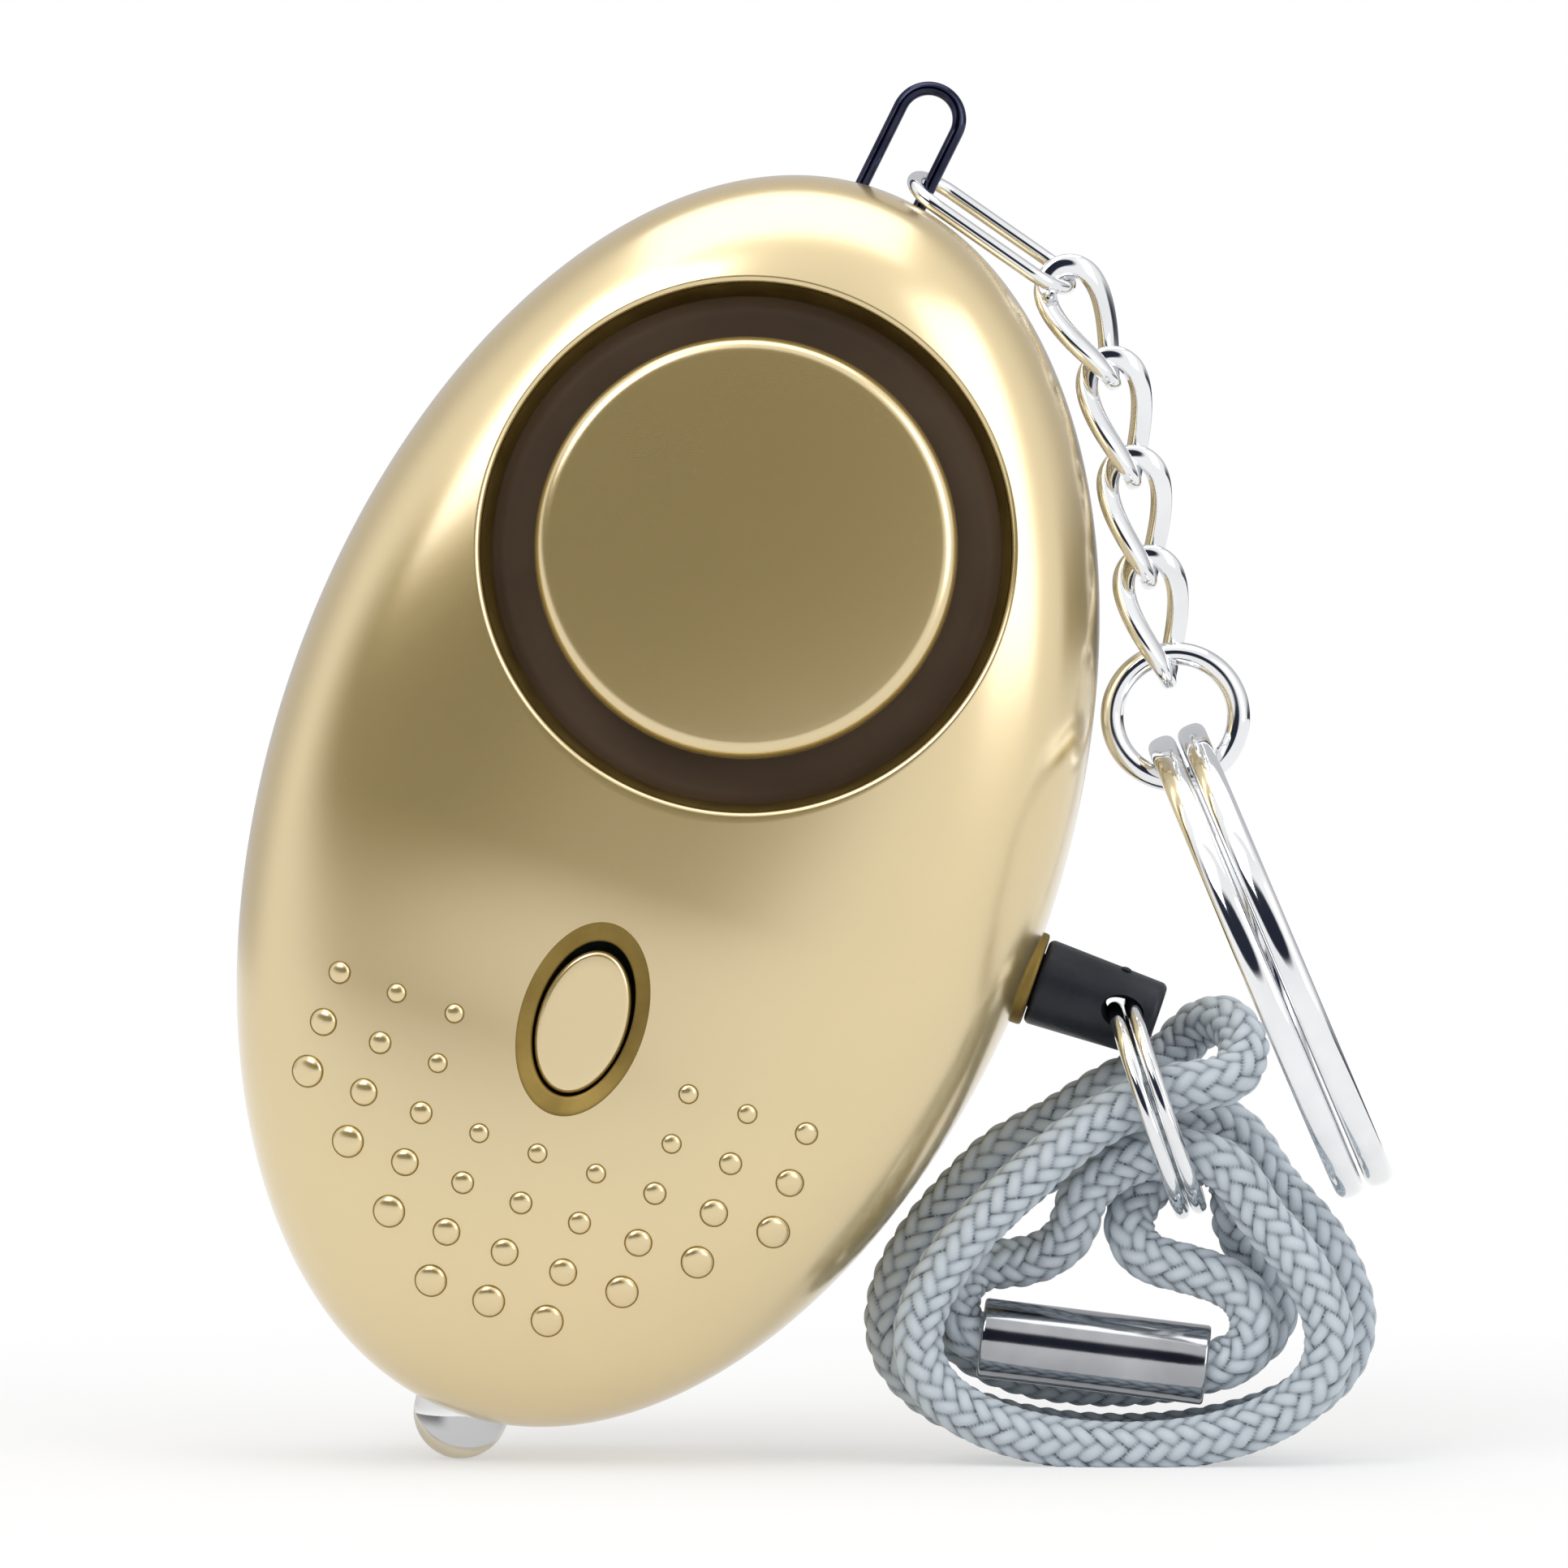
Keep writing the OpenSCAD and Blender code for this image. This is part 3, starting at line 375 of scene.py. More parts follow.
def make_gold_paint():
    """Satin metallic paint: two near tones in clouds, a fine grain, faint peel and a strong coat."""
    material, nodes, links, shader = new_material("gold_paint")
    cloud = noise_node(nodes, links, 70, 3)
    links.new(ramp_node(nodes, links, cloud, [(0.3, (0.64, 0.466, 0.148)), (0.7, (0.68, 0.496, 0.162))]),
              shader.inputs["Base Color"])
    grain = noise_node(nodes, links, 5200, 2)
    links.new(range_node(nodes, links, grain, 0.25, 0.28), shader.inputs["Roughness"])
    set_inputs(shader, {"Metallic": 0.65, "Coat Weight": 1.0, "Coat IOR": 3.0, "Coat Roughness": 0.2})
    peel = noise_node(nodes, links, 800, 1)
    bump_node(nodes, links, shader, peel, 0.012)
    return material


gold_paint = make_gold_paint()
# A darker, rougher copy of the gold paint: painted shade for the recess wall, the button's sunk band, the
# boss and the dark line at each dot's foot.
gold_painted_shade = finish("gold_painted_shade", (0.235, 0.160, 0.045), (0.285, 0.200, 0.060), 1.0, (0.48, 0.58), 500,
                    bump_scale=2500)
brown_plastic = finish("brown_plastic", (0.094, 0.061, 0.036), (0.104, 0.068, 0.041), 0.0, (0.42, 0.48), 300,
                       bump=0.12, bump_scale=2500, gloss=0.25)
chrome_steel = finish("chrome_steel", (0.80, 0.81, 0.83), (0.88, 0.89, 0.90), 1.0, (0.05, 0.11), 250,
                      bump=0.05, bump_scale=700)
# Chrome darkened for the ferrule: a painted dark reflection.
tube_steel_dark_reflection = finish("tube_steel_dark_reflection", (0.37, 0.38, 0.40), (0.46, 0.47, 0.49), 1.0, (0.08, 0.18), 300,
                    bump=0.06, bump_scale=900)
dark_wire = finish("dark_wire", (0.02, 0.022, 0.045), (0.05, 0.054, 0.09), 1.0, (0.10, 0.20), 400,
                   bump=0.08, bump_scale=1500)
plain_steel = finish("plain_steel", (0.55, 0.56, 0.58), (0.66, 0.67, 0.69), 1.0, (0.25, 0.38), 400, bump=0.12)
black_plastic = finish("black_plastic", (0.010, 0.012, 0.019), (0.017, 0.020, 0.030), 0.0, (0.34, 0.46), 500,
                       bump=0.22, bump_scale=3000, gloss=0.3)
# Near-black matte plastic for the pin's cross hole: painted shade inside the hole.
hole_painted_shade = finish("hole_painted_shade", (0.006, 0.007, 0.010), (0.012, 0.013, 0.018), 0.0, (0.85, 0.95), 800,
                    bump=0.2, gloss=0.1)
board_green = finish("board_green", (0.02, 0.10, 0.045), (0.035, 0.15, 0.07), 0.0, (0.30, 0.40), 500)
brass_strip = finish("brass_strip", (0.62, 0.44, 0.16), (0.70, 0.52, 0.22), 1.0, (0.22, 0.34), 500)
ivory_ceramic = finish("ivory_ceramic", (0.68, 0.63, 0.52), (0.75, 0.71, 0.61), 0.0, (0.45, 0.55), 600)
coil_brown = finish("coil_brown", (0.16, 0.07, 0.03), (0.25, 0.12, 0.05), 0.3, (0.30, 0.42), 900,
                    bump=0.3, bump_scale=4000)


def make_clear_lens():
    """Clear cast resin: nearly colourless, with faint flow marks."""
    material, nodes, links, shader = new_material("clear_lens")
    flow = noise_node(nodes, links, 500, 2)
    links.new(ramp_node(nodes, links, flow, [(0.3, (0.92, 0.94, 0.96)), (0.7, (0.96, 0.97, 0.98))]),
              shader.inputs["Base Color"])
    links.new(range_node(nodes, links, flow, 0.03, 0.08), shader.inputs["Roughness"])
    set_inputs(shader, {"Transmission Weight": 0.9, "IOR": 1.5})
    return material


def make_cord_fabric():
    """Braided yarn: colour by the braid's height, painted highlight on the crown of each plait and painted
    shade in the creases, with fine fibres and stray tone.
    """
    material, nodes, links, shader = new_material("cord_fabric")
    crown = nodes.new("ShaderNodeAttribute")
    crown.attribute_name = "relief"
    yarn = noise_node(nodes, links, 1400, 3)
    tone = range_node(nodes, links, yarn, -0.14, 0.14)
    level = math_node(nodes, links, "ADD", crown.outputs["Fac"], tone)
    # Colour over the braid's height: the dark low end is painted shade in the creases, the pale top a painted
    # highlight on the crowns.
    stops = [(0.1, (0.06, 0.07, 0.085)), (0.35, (0.30, 0.345, 0.39)),
             (0.65, (0.48, 0.54, 0.595)), (1.0, (0.575, 0.64, 0.695))]
    links.new(ramp_node(nodes, links, level, stops), shader.inputs["Base Color"])
    links.new(range_node(nodes, links, yarn, 0.72, 0.9), shader.inputs["Roughness"])
    set_inputs(shader, {"Sheen Weight": 0.2, "Sheen Roughness": 0.5})
    fibre = noise_node(nodes, links, 9000, 2)
    bump_node(nodes, links, shader, fibre, 0.35, FINE_DEPTH / 2)
    return material


clear_lens = make_clear_lens()
cord_fabric = make_cord_fabric()


# Wrist cord: the route of the solid, in millimetres
CORD_D = 2.4
PINCH = 0.2
FERRULE_MID = np.array([13.9, -1, 5.6])
FERRULE_WAY = hang(90 - 6.9)
FERRULE_HALF = 5.7
FERRULE_R = 2.0
FERRULE_BORE_R = 1.35

# Braid: yarns each way, length of one crossing, over and under in crossings, and the relief below and above
YARNS = 8
CROSSING = 1.08
FLOAT = 2
BRAID_SUNK = 0.13
BRAID_RISE = 0.24


def cord_turn(start, end, mid, wide, low, high, front, back):
    """A pear-shaped turn: a pinched sine across and a cosine up, with its depth going from front to back."""
    k = np.linspace(0, 1, 19)
    a = np.radians(start + (end - start) * k)
    x = mid + wide * (np.sin(a) - PINCH * np.sin(2 * a))
    z = (low + high) / 2 + (high - low) / 2 * np.cos(a)
    return np.stack([x, front + (back - front) * k, z], -1)


def cord_route():
    """The cord from one end in the ferrule, through three turns and a bight in the pin ring, to the other."""
    mouth = [2.3, 3.68, FERRULE_HALF]
    start = [FERRULE_MID - k * FERRULE_WAY for k in mouth]
    end = [FERRULE_MID + k * FERRULE_WAY for k in mouth[::-1]]
    out = [[7.6, -1, 6.5], [7.1, -0.7, 7.1], [6.9, -0.3, 7.9], [7.1, 0.1, 8.7], [7.6, 0.4, 9.4],
           [8.6, 0.6, 9.8], [10.3, 0.6, 10], [11.8, 0.2, 10.6], [12.8, -0.3, 11.7], [13.2, -0.8, 13],
           [14.2, -1.1, 14.3], [15.7, -1.5, 15.2], [17.8, -2, 15.6], [19.6, -2.3, 15.4], [21, -2.3, 14.4]]
    bight = [[11.7, -3.3, 15.4], [14, -3.2, 17.1], [16.8, -2.9, 18.5], [18.6, -2.6, 19], [20.1, -2.1, 19.2],
             [21.1, -1.2, 19.8], [21.4, -0.1, 20.8], [21, 1.1, 21.7], [20, 2.3, 22.1], [18.8, 3.1, 21.5],
             [17.6, 3, 20.2], [16.4, 2.4, 19.5], [14.2, 1.8, 18.4], [11.8, 1.4, 16.9]]
    behind = [[21.8, 3.3, 15.6], [20.5, 3.5, 16.8], [19, 3.4, 17.1], [17.4, 3.2, 16.7],
              [15.4, 3.3, 16.1], [13.3, 3.4, 15.3], [11.5, 3.5, 14.6]]
    back = [[21, 1.1, 13], [20.9, 0.8, 13.9], [20.4, 0.6, 14.7], [19.6, 0.6, 15.1], [18.6, 0.7, 15],
            [17.8, 0.9, 14.7], [17, 1, 14.2], [16.2, 0.9, 13.3], [15.7, 0.6, 12.3], [15.8, 0.2, 11.2],
            [16.6, -0.1, 10.3], [17.8, -0.4, 9.9], [19, -0.6, 9.6], [20.2, -0.7, 9.2], [21.2, -0.8, 8.6],
            [21.8, -0.9, 7.7], [21.9, -1, 6.6], [21.4, -1, 5.6], [20.5, -1, 5]]
    front_turn = cord_turn(62, 310, 15.4, 9.6, 0.96, 16.6, -2.1, -3.3)
    wide_turn = cord_turn(-48, -298, 15.2, 10.9, 0.96, 18.4, 1.1, 3.2)
    rear_turn = cord_turn(-50, -286, 14.6, 7.8, 3.8, 15.8, 3.8, 1.8)
    return np.concatenate([start, out, front_turn, bight, wide_turn, behind, rear_turn, back, end])


def smooth_line(points, count):
    """A natural cubic spline through points, over their chord lengths, read at even steps of its length."""
    runs = np.linalg.norm(np.diff(points, axis=0), axis=1)
    at = np.concatenate([[0], np.cumsum(runs)])
    n = len(points)
    system = np.eye(n)
    right = np.zeros((n, 3))
    k = np.arange(1, n - 1)
    system[k, k - 1] = runs[:-1]
    system[k, k] = 2 * (runs[:-1] + runs[1:])
    system[k, k + 1] = runs[1:]
    slopes = np.diff(points, axis=0) / runs[:, None]
    right[1:-1] = 6 * np.diff(slopes, axis=0)
    curve = np.linalg.solve(system, right)

    def read(s):
        i = np.clip(np.searchsorted(at, s) - 1, 0, n - 2)
        h = runs[i][:, None]
        a = (at[i + 1] - s)[:, None]
        b = (s - at[i])[:, None]
        bend = curve[i] * (a ** 3 / h - a * h) / 6 + curve[i + 1] * (b ** 3 / h - b * h) / 6
        return bend + (points[i] * a + points[i + 1] * b) / h

    dense = read(np.linspace(0, at[-1], count * 4))
    length = np.concatenate([[0], np.cumsum(np.linalg.norm(np.diff(dense, axis=0), axis=1))])
    even = np.linspace(0, length[-1], count)
    return np.stack([np.interp(even, length, dense[:, k]) for k in range(3)], -1), length[-1]


def carried_frames(path):
    """Side vectors that follow a path with no twist: each is the last one, laid flat to the path again."""
    way = ways_along(path, False)
    side = np.zeros_like(path)
    last = np.cross(way[0], [0, 1, 0])
    for i, w in enumerate(way):
        last = last - w * (last @ w)
        last = last / np.linalg.norm(last)
        side[i] = last
    return side, np.cross(way, side)


def braid(around, along):
    """Height of a round braid, 0 to 1: two families of yarns cross, and each goes over two and under two.

    A yarn's own number and the place along it come from the sum and the difference of the way round and the
    way along. A float is a pillow across the yarn, and rises and sinks as a half sine over its crossings.
    """
    cycle = 2 * FLOAT
    left = around + along
    right = around - along
    left_yarn = np.floor(left)
    right_yarn = np.floor(right)
    on_left = np.mod(left_yarn + right, cycle)
    on_right = np.mod(right_yarn + left, cycle) - FLOAT
    left_over = np.mod(left_yarn + right_yarn, cycle) < FLOAT
    across = np.where(left_over, left - left_yarn, right - right_yarn) - 0.5
    place = np.clip(np.where(left_over, on_left, on_right), 0, FLOAT)
    pillow = np.sqrt(1 - 0.96 * (2 * across) ** 2)
    return pillow * np.sin(math.pi * place / FLOAT) ** 0.45


def make_cord_ferrule():
    """A bright tube: its wall turned about the cord, with small round edges at both mouths. Its steel is
    darkened as a painted dark reflection.
    """
    half = FERRULE_HALF
    edge = 0.18
    a = np.linspace(0, math.pi / 2, 6)
    right = np.stack([FERRULE_R - edge + edge * np.cos(a), half - edge + edge * np.sin(a)], -1)
    flare = np.array([[FERRULE_BORE_R + 0.1, half], [FERRULE_BORE_R + 0.01, half - 0.1],
                      [FERRULE_BORE_R, half - 2]])
    mirror = np.array([1, -1])
    wall = np.stack([np.full(8, FERRULE_R), np.linspace(edge - half, half - edge, 10)[1:-1]], -1)
    profile = np.concatenate([wall, right, flare, flare[::-1] * mirror, right[::-1] * mirror])
    ring = lathe(profile, 96)
    side = np.array([FERRULE_WAY[2], 0, -FERRULE_WAY[0]])
    deep = np.array([0, 1, 0])
    rows = FERRULE_MID + ring[..., 2:] * FERRULE_WAY + ring[..., :1] * side + ring[..., 1:2] * deep
    sheet = sheet_of(rows, looped=True)
    return make_piece("bright_ferrule", sheet, tube_steel_dark_reflection, "housing", ["cord_ferrule"])


def make_wrist_cord(ferrule):
    """The cord: the braid's height on a tube along the route, laid flat where it meets the floor."""
    steps = 1600
    sides = 60
    path, length = smooth_line(cord_route(), steps)
    side, over = carried_frames(path)
    turn = (np.arange(sides) / sides)[None, :]
    along = np.linspace(0, length, steps)[:, None]
    crown = braid(turn * YARNS, along / CROSSING)
    radius = (CORD_D / 2 - BRAID_SUNK + BRAID_RISE * crown)[..., None]
    a = (turn * TURN)[..., None]
    skin = path[:, None] + radius * (np.cos(a) * side[:, None] + np.sin(a) * over[:, None])
    points, quads = sheet_of(capped(skin))
    points[:, 2] = np.maximum(points[:, 2], 0.0)
    ends = len(END_STEPS)
    # The braid's height goes to the material, which paints highlight on the crowns and shade in the creases.
    relief = np.pad(crown, ((ends, ends), (0, 0)), mode="edge")
    sheet = (points, quads)
    cord = make_piece("braided_cord", sheet, cord_fabric, None, ["wrist_cord"], relief)
    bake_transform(cord)


make_wrist_cord(make_cord_ferrule())


# Casing, front half: rays from the siren's recess to the outline
FILLET = 0.28
WALL_R = SIREN_R - FILLET
RECESS_TAPER = 0.5
RECESS_CORNER = 0.8
HIDDEN_R = 4.0

# Grip dots: spacing, height of the lowest row, largest and least diameter, and the step between rows
DOT_ACROSS = 3.05
DOT_UP = 2.6
DOT_LOW = -26
DOT_D = 1.55
DOT_LEAST = 0.9
DOT_STEP = 0.25
BOSS_R = 2.4


def outline(count):
    """The casing's oval outline at even steps of its length."""
    a = np.linspace(0, TURN, count * 8 + 1)
    x = HALF_W * np.cos(a)
    z = HALF_L * np.sin(a)
    length = np.concatenate([[0], np.cumsum(np.hypot(np.diff(x), np.diff(z)))])
    at = np.interp(np.arange(count) / count * length[-1], length, a)
    return np.stack([HALF_W * np.cos(at), HALF_L * np.sin(at)], -1)


def recess_edge(radius, angle):
    """Where a cylinder round the siren's axis meets the front face, by repeated setting on the face."""
    x = radius * np.cos(angle)
    high = radius * np.sin(angle)
    deep = np.full_like(x, 1 - FRONT_D)
    for _ in range(12):
        p = in_casing(np.stack([x, deep, high], -1))
        deep = (face_y(p[..., 0], p[..., 2]) - high * math.sin(SIREN_TILT)) / math.cos(SIREN_TILT)
    return np.stack([x, deep, high], -1)


def front_face(rays=600, rows=124):
    """The front face as rays from the recess to the outline, then a lip and a tongue at the seam.

    The rows are even over the first part of each ray, and close up by a power over the rim.
    """
    rim = outline(rays)
    above = 0.6
    angle = np.arctan2(rim[:, 1] - SIREN_Z - above, rim[:, 0])
    edge = in_casing(recess_edge(SIREN_R, angle))
    u = np.linspace(0, 1, rows)[:, None]
    even = 0.8
    power = 3.2
    bend = even / (even + (1 - even) * power)
    g = np.where(u < bend, u * even / bend, 1 - (1 - even) * ((1 - u) / (1 - bend)) ** power)
    x = edge[:, 0] + (rim[:, 0] - edge[:, 0]) * g
    z = edge[:, 2] + (rim[:, 1] - edge[:, 2]) * g
    y = face_y(x, z)
    lip = np.stack([rim[:, 0] * 0.96, np.full(rays, -HALF_SEAM), rim[:, 1] * 0.975], -1)
    tongue = lip + np.array([0, 0.7, 0])
    face = np.concatenate([np.stack([x, y, z], -1), lip[None], tongue[None]])
    return face, angle


def recess_ring(angle):
    """The rounded edge of the recess: a quarter circle from the face to the wall, then a short wall."""
    edge = recess_edge(SIREN_R, angle)
    turn = np.linspace(0, math.pi / 2, 9)[:, None]
    radius = WALL_R + FILLET * (1 - np.sin(turn))
    deep = edge[:, 1] + FILLET * (1 - np.cos(turn))
    rows = np.stack([radius * np.cos(angle), deep, radius * np.sin(angle)], -1)
    wall = rows[-1] + np.array([0, 0.5, 0])
    return in_casing(np.concatenate([rows, wall[None]]))


def cut_oval(points, quads, middle, half, depth_at, side=True):
    """Takes an oval hole out of a face, on the side that is marked.

    Quads with their middle inside it go, and points along the cut move onto the oval.
    """
    dx = points[:, 0] - middle[0]
    dz = points[:, 2] - middle[1]
    share = np.maximum(np.hypot(dx / half[0], dz / half[1]), 1e-6)
    far_off = 9.0
    share = np.where(side, share, far_off)
    gone = share[quads].mean(1) < 1
    edge = np.intersect1d(quads[~gone], quads[gone])
    points = points.copy()
    points[edge, 0] = middle[0] + dx[edge] / share[edge]
    points[edge, 2] = middle[1] + dz[edge] / share[edge]
    points[edge, 1] = depth_at(points[edge, 0], points[edge, 2])
    return points, quads[~gone]


def dot_spots():
    """The middle and the radius of each grip dot: nine columns, with the largest dot at the foot of each."""
    spans = [(0, 3), (0, 3), (1, 5), (2, 5), (3, 5)]
    side = len(spans) - 1
    for column in range(-side, side + 1):
        first, last = spans[abs(column)]
        for row in range(first, last + 1):
            across = max(DOT_LEAST, DOT_D - DOT_STEP * (row - first))
            yield column * DOT_ACROSS, DOT_LOW + DOT_UP * row, across / 2


def rings_on_face(x0, z0, radius, lift):
    """Rings round a place on the face, at the given radii and heights above it."""
    a = round_angles(28)
    x = x0 + radius[:, None] * np.cos(a)
    z = z0 + radius[:, None] * np.sin(a)
    return np.stack([x, face_y(x, z) - lift[:, None], z], -1)


def grip_dots():
    """Round grip dots: domes on the face, each a quarter of an oval turned about its middle."""
    turn = np.linspace(0, math.pi / 2, 9)
    parts = []
    for x0, z0, r in dot_spots():
        lift = 0.5 * r * np.sin(turn) ** 0.8 - 0.02
        parts.append(sheet_of(rings_on_face(x0, z0, r * np.cos(turn), lift)))
    return joined(*parts)


def make_dot_shade_lines():
    """Painted shade at the foot of each grip dot: a low narrow bead round it, in the darkened gold."""
    out = np.array([0.055, 0.04, 0.0, -0.04])
    lift = np.array([-0.01, 0.03, 0.045, 0.03])
    parts = []
    for x0, z0, r in dot_spots():
        parts.append(sheet_of(rings_on_face(x0, z0, r + out, lift)))
    points, quads = joined(*parts)
    make_piece("dot_shade_lines", (in_part(points), quads), gold_painted_shade, "housing")


def make_button_surround():
    """The sunk oval band round the button: a slope to the hole, a corner and the hole's wall, in the rougher,
    darkened gold as painted shade.
    """
    a = round_angles(200)
    inset = np.concatenate([[-0.2, 0.0, 0.0625], np.linspace(0.15, 0.9, 9), [0.975, 1, 1]])
    deep = np.concatenate([[0.07, 0.0, 0.012], np.linspace(0.04, 0.36, 9), [0.42, 0.5, 2.6]])[:, None]
    wide = (BUTTON_DISH[0] - (BUTTON_DISH[0] - BUTTON_HOLE[0]) * inset)[:, None]
    high = (BUTTON_DISH[1] - (BUTTON_DISH[1] - BUTTON_HOLE[1]) * inset)[:, None]
    x = wide * np.cos(a)
    z = BUTTON_Z + high * np.sin(a)
    points, quads = sheet_of(np.stack([x, face_y(x, z) + deep, z], -1), flip=True)
    make_piece("button_surround", (in_part(points), quads), gold_painted_shade, "housing")


def half_boss(way):
    """Half of the round boss that the pull pin goes into: an arc on one side of the seam, along the pin."""
    clear = 0.03
    a = np.linspace(clear, math.pi - clear, 40)
    radius = BOSS_R - np.array([0, 0, 0.02, 0.1, 0.2, 0.9])[:, None]
    x = HALF_W + np.array([-3, 0.15, 0.27, 0.33, 0.35, 0.35])[:, None]
    y = way * radius * np.sin(a)
    z = PIN_Z + radius * np.cos(a)
    return np.stack([np.repeat(x, len(a), 1), y, z], -1)


def make_bosses():
    """Both halves of the boss, in front of the seam and behind it, in the darkened gold as painted shade."""
    for name, way in (("front_boss", -1), ("rear_boss", 1)):
        points, quads = sheet_of(half_boss(way), closed=False, flip=way > 0)
        make_piece(name, (in_part(points), quads), gold_painted_shade, "housing")


def make_front_shell():
    """The front half: its face with the button's oval cut out, the edge of the recess and the grip dots."""
    face, angle = front_face()
    points, quads = sheet_of(face)
    points, quads = cut_oval(points, quads, (0, BUTTON_Z), BUTTON_DISH, face_y)
    points, quads = joined((points, quads), sheet_of(recess_ring(angle), flip=True), grip_dots())
    make_piece("front_half", (in_part(points), quads), gold_paint, "housing", ["front_shell"])


def make_siren_cup():
    """The recess: the casing's own tapered wall, in the darkened gold as painted shade, then the dark lining
    with a round corner and the floor.
    """
    a = round_angles(256)
    outer = WALL_R - 0.03
    inner = outer - RECESS_TAPER
    top = recess_edge(outer, a)[:, 1] + 0.4
    low = -SIREN_FLOOR - RECESS_CORNER
    share = np.linspace(0, 1, 4)[:, None]
    corner = np.linspace(0, math.pi / 2, 8)[:, None]
    wall = (outer - RECESS_TAPER * share, top + (low - top) * share)
    floor = np.linspace(inner - RECESS_CORNER - 0.3, HIDDEN_R, 6)[:, None]
    lining = (np.concatenate([inner - RECESS_CORNER * (1 - np.cos(corner)), floor]),
              np.concatenate([low + RECESS_CORNER * np.sin(corner), np.full_like(floor, -SIREN_FLOOR)]))
    # The tapered wall takes the darkened gold as painted shade; the lining is the dark plastic's own colour.
    for name, (radius, deep), material, slot, nodes in (
            ("siren_wall", wall, gold_painted_shade, "gold_paint", []),
            ("siren_lining", lining, brown_plastic, "brown_plastic", ["siren_cup"])):
        deep = np.broadcast_to(deep, (len(radius), len(a)))
        rows = np.stack([radius * np.cos(a), deep, radius * np.sin(a)], -1)
        points, quads = sheet_of(in_part(in_casing(rows)), flip=True)
        make_piece(name, (points, quads), material, "housing", nodes)


def make_siren_cap():
    """The cap, turned about the siren's axis: a low dome, a round edge and a flat back."""
    corner = 0.8
    flat = CAP_R - corner
    top = -CAP_Y + 0.1
    rise = CAP_RISE - 0.2
    r = np.linspace(0, 1, 24)
    dome = np.stack([flat * r, top + rise * r ** 2], -1)
    a = np.linspace(0, math.pi / 2, 10)[1:]
    edge = np.stack([flat + corner * np.sin(a), top + rise + corner * (1 - np.cos(a))], -1)
    deep = -CAP_Y + CAP_RISE + CAP_T
    bevel = 0.2
    back = np.array([[CAP_R, deep - bevel], [CAP_R - bevel, deep], [HIDDEN_R, deep],
                     [HIDDEN_R, 0.1 - SIREN_FLOOR]])
    ring = lathe(np.concatenate([dome, edge, back]), 256)
    rows = np.stack([ring[..., 0], ring[..., 2], ring[..., 1]], -1)
    sheet = sheet_of(in_part(in_casing(rows)))
    make_piece("siren_face", sheet, gold_paint, "housing", ["siren_cap"])


def make_led_button():
    """The oval button: a flat face that leans in at its lower end, a round edge, and its side in the hole."""
    wide_half, high_half = BUTTON_HALF
    edge = 0.28
    sunk = 0.4
    lean = 0.1
    side = 1.7
    a = round_angles(160)
    turn = np.linspace(0, math.pi / 2, 9)[1:, None]
    inset = np.concatenate([np.linspace(wide_half, edge, 10)[:, None], edge * (1 - np.sin(turn)), [[0.0]]])
    drop = np.concatenate([np.zeros((10, 1)), edge * (1 - np.cos(turn)), [[side]]])
    wide = np.maximum(wide_half - inset, 0)
    high = (high_half - inset) * np.minimum(wide / (wide_half - edge), 1)
    x = wide * np.cos(a)
    up = high * np.sin(a)
    y = face_y(0.0, BUTTON_Z) + sunk + drop - lean * up * (drop < side)
    sheet = sheet_of(in_part(np.stack([x, y, BUTTON_Z - BUTTON_DROP + up], -1)))
    make_piece("oval_button", sheet, gold_paint, "button", ["led_button"])


# Casing, rear half
SCREW_R = 1.9
SCREW_SPOTS = [(14.12, 2.2), (-14.12, 2.2), (8.2, -23.6), (-8.2, -23.6)]
BACK_SOFT = 0.15


def back_y(x, z):
    """Depth of the rear face: a like pillow, blended into the flat back by a soft minimum."""
    share = np.hypot(x / HALF_W, z / HALF_L)
    deep = HALF_SEAM + (REAR_D - HALF_SEAM) * np.clip(1 - share ** CROWN, 0, 1) ** (1 / CROWN)
    return BACK_Y - BACK_SOFT * np.log1p(np.exp((BACK_Y - deep) / BACK_SOFT))


def screw_well(x0, z0):
    """A screw's well: a rim just under the face, a round edge and a straight wall past the screw's head."""
    a = round_angles(64)
    radius = SCREW_R + np.array([0.18, 0.0, -0.05, -0.08, -0.08])[:, None]
    x = x0 + radius * np.cos(a)
    z = z0 + radius * np.sin(a)
    deep = np.array([0.05, 0.0, 0.03, 0.1, 6.0])[:, None]
    return np.stack([x, back_y(x, z) - deep, z], -1)


def make_rear_shell(sides=440):
    """The rear half: rings of the outline from the seam to the middle of the back, with four screw wells."""
    t = np.linspace(0, math.pi / 2, 4000)
    share = np.cos(t) ** (2 / CROWN)
    deep = back_y(HALF_W * share, 0 * share)
    mean_r = 26
    run = np.concatenate([[0], np.cumsum(np.hypot(mean_r * np.diff(share), np.diff(deep)))])
    share = np.interp(np.linspace(0, run[-1], 150), run, share)[:, None]
    rim = outline(sides)
    x = share * rim[:, 0]
    z = share * rim[:, 1]
    lip = np.stack([rim[:, 0] * 0.95, np.full(sides, HALF_SEAM), rim[:, 1] * 0.97], -1)
    face = np.concatenate([lip[None], np.stack([x, back_y(x, z), z], -1)])
    points, quads = sheet_of(face)
    wells = []
    for x0, z0 in SCREW_SPOTS:
        points, quads = cut_oval(points, quads, (x0, z0), (SCREW_R, SCREW_R), back_y)
        wells.append(sheet_of(screw_well(x0, z0)))
    points, quads = joined((points, quads), *wells)
    make_piece("rear_half", (in_part(points), quads), gold_paint, "housing", ["rear_shell"])


make_front_shell()
make_bosses()
make_dot_shade_lines()
make_button_surround()
make_siren_cup()
make_siren_cap()
make_led_button()
make_rear_shell()


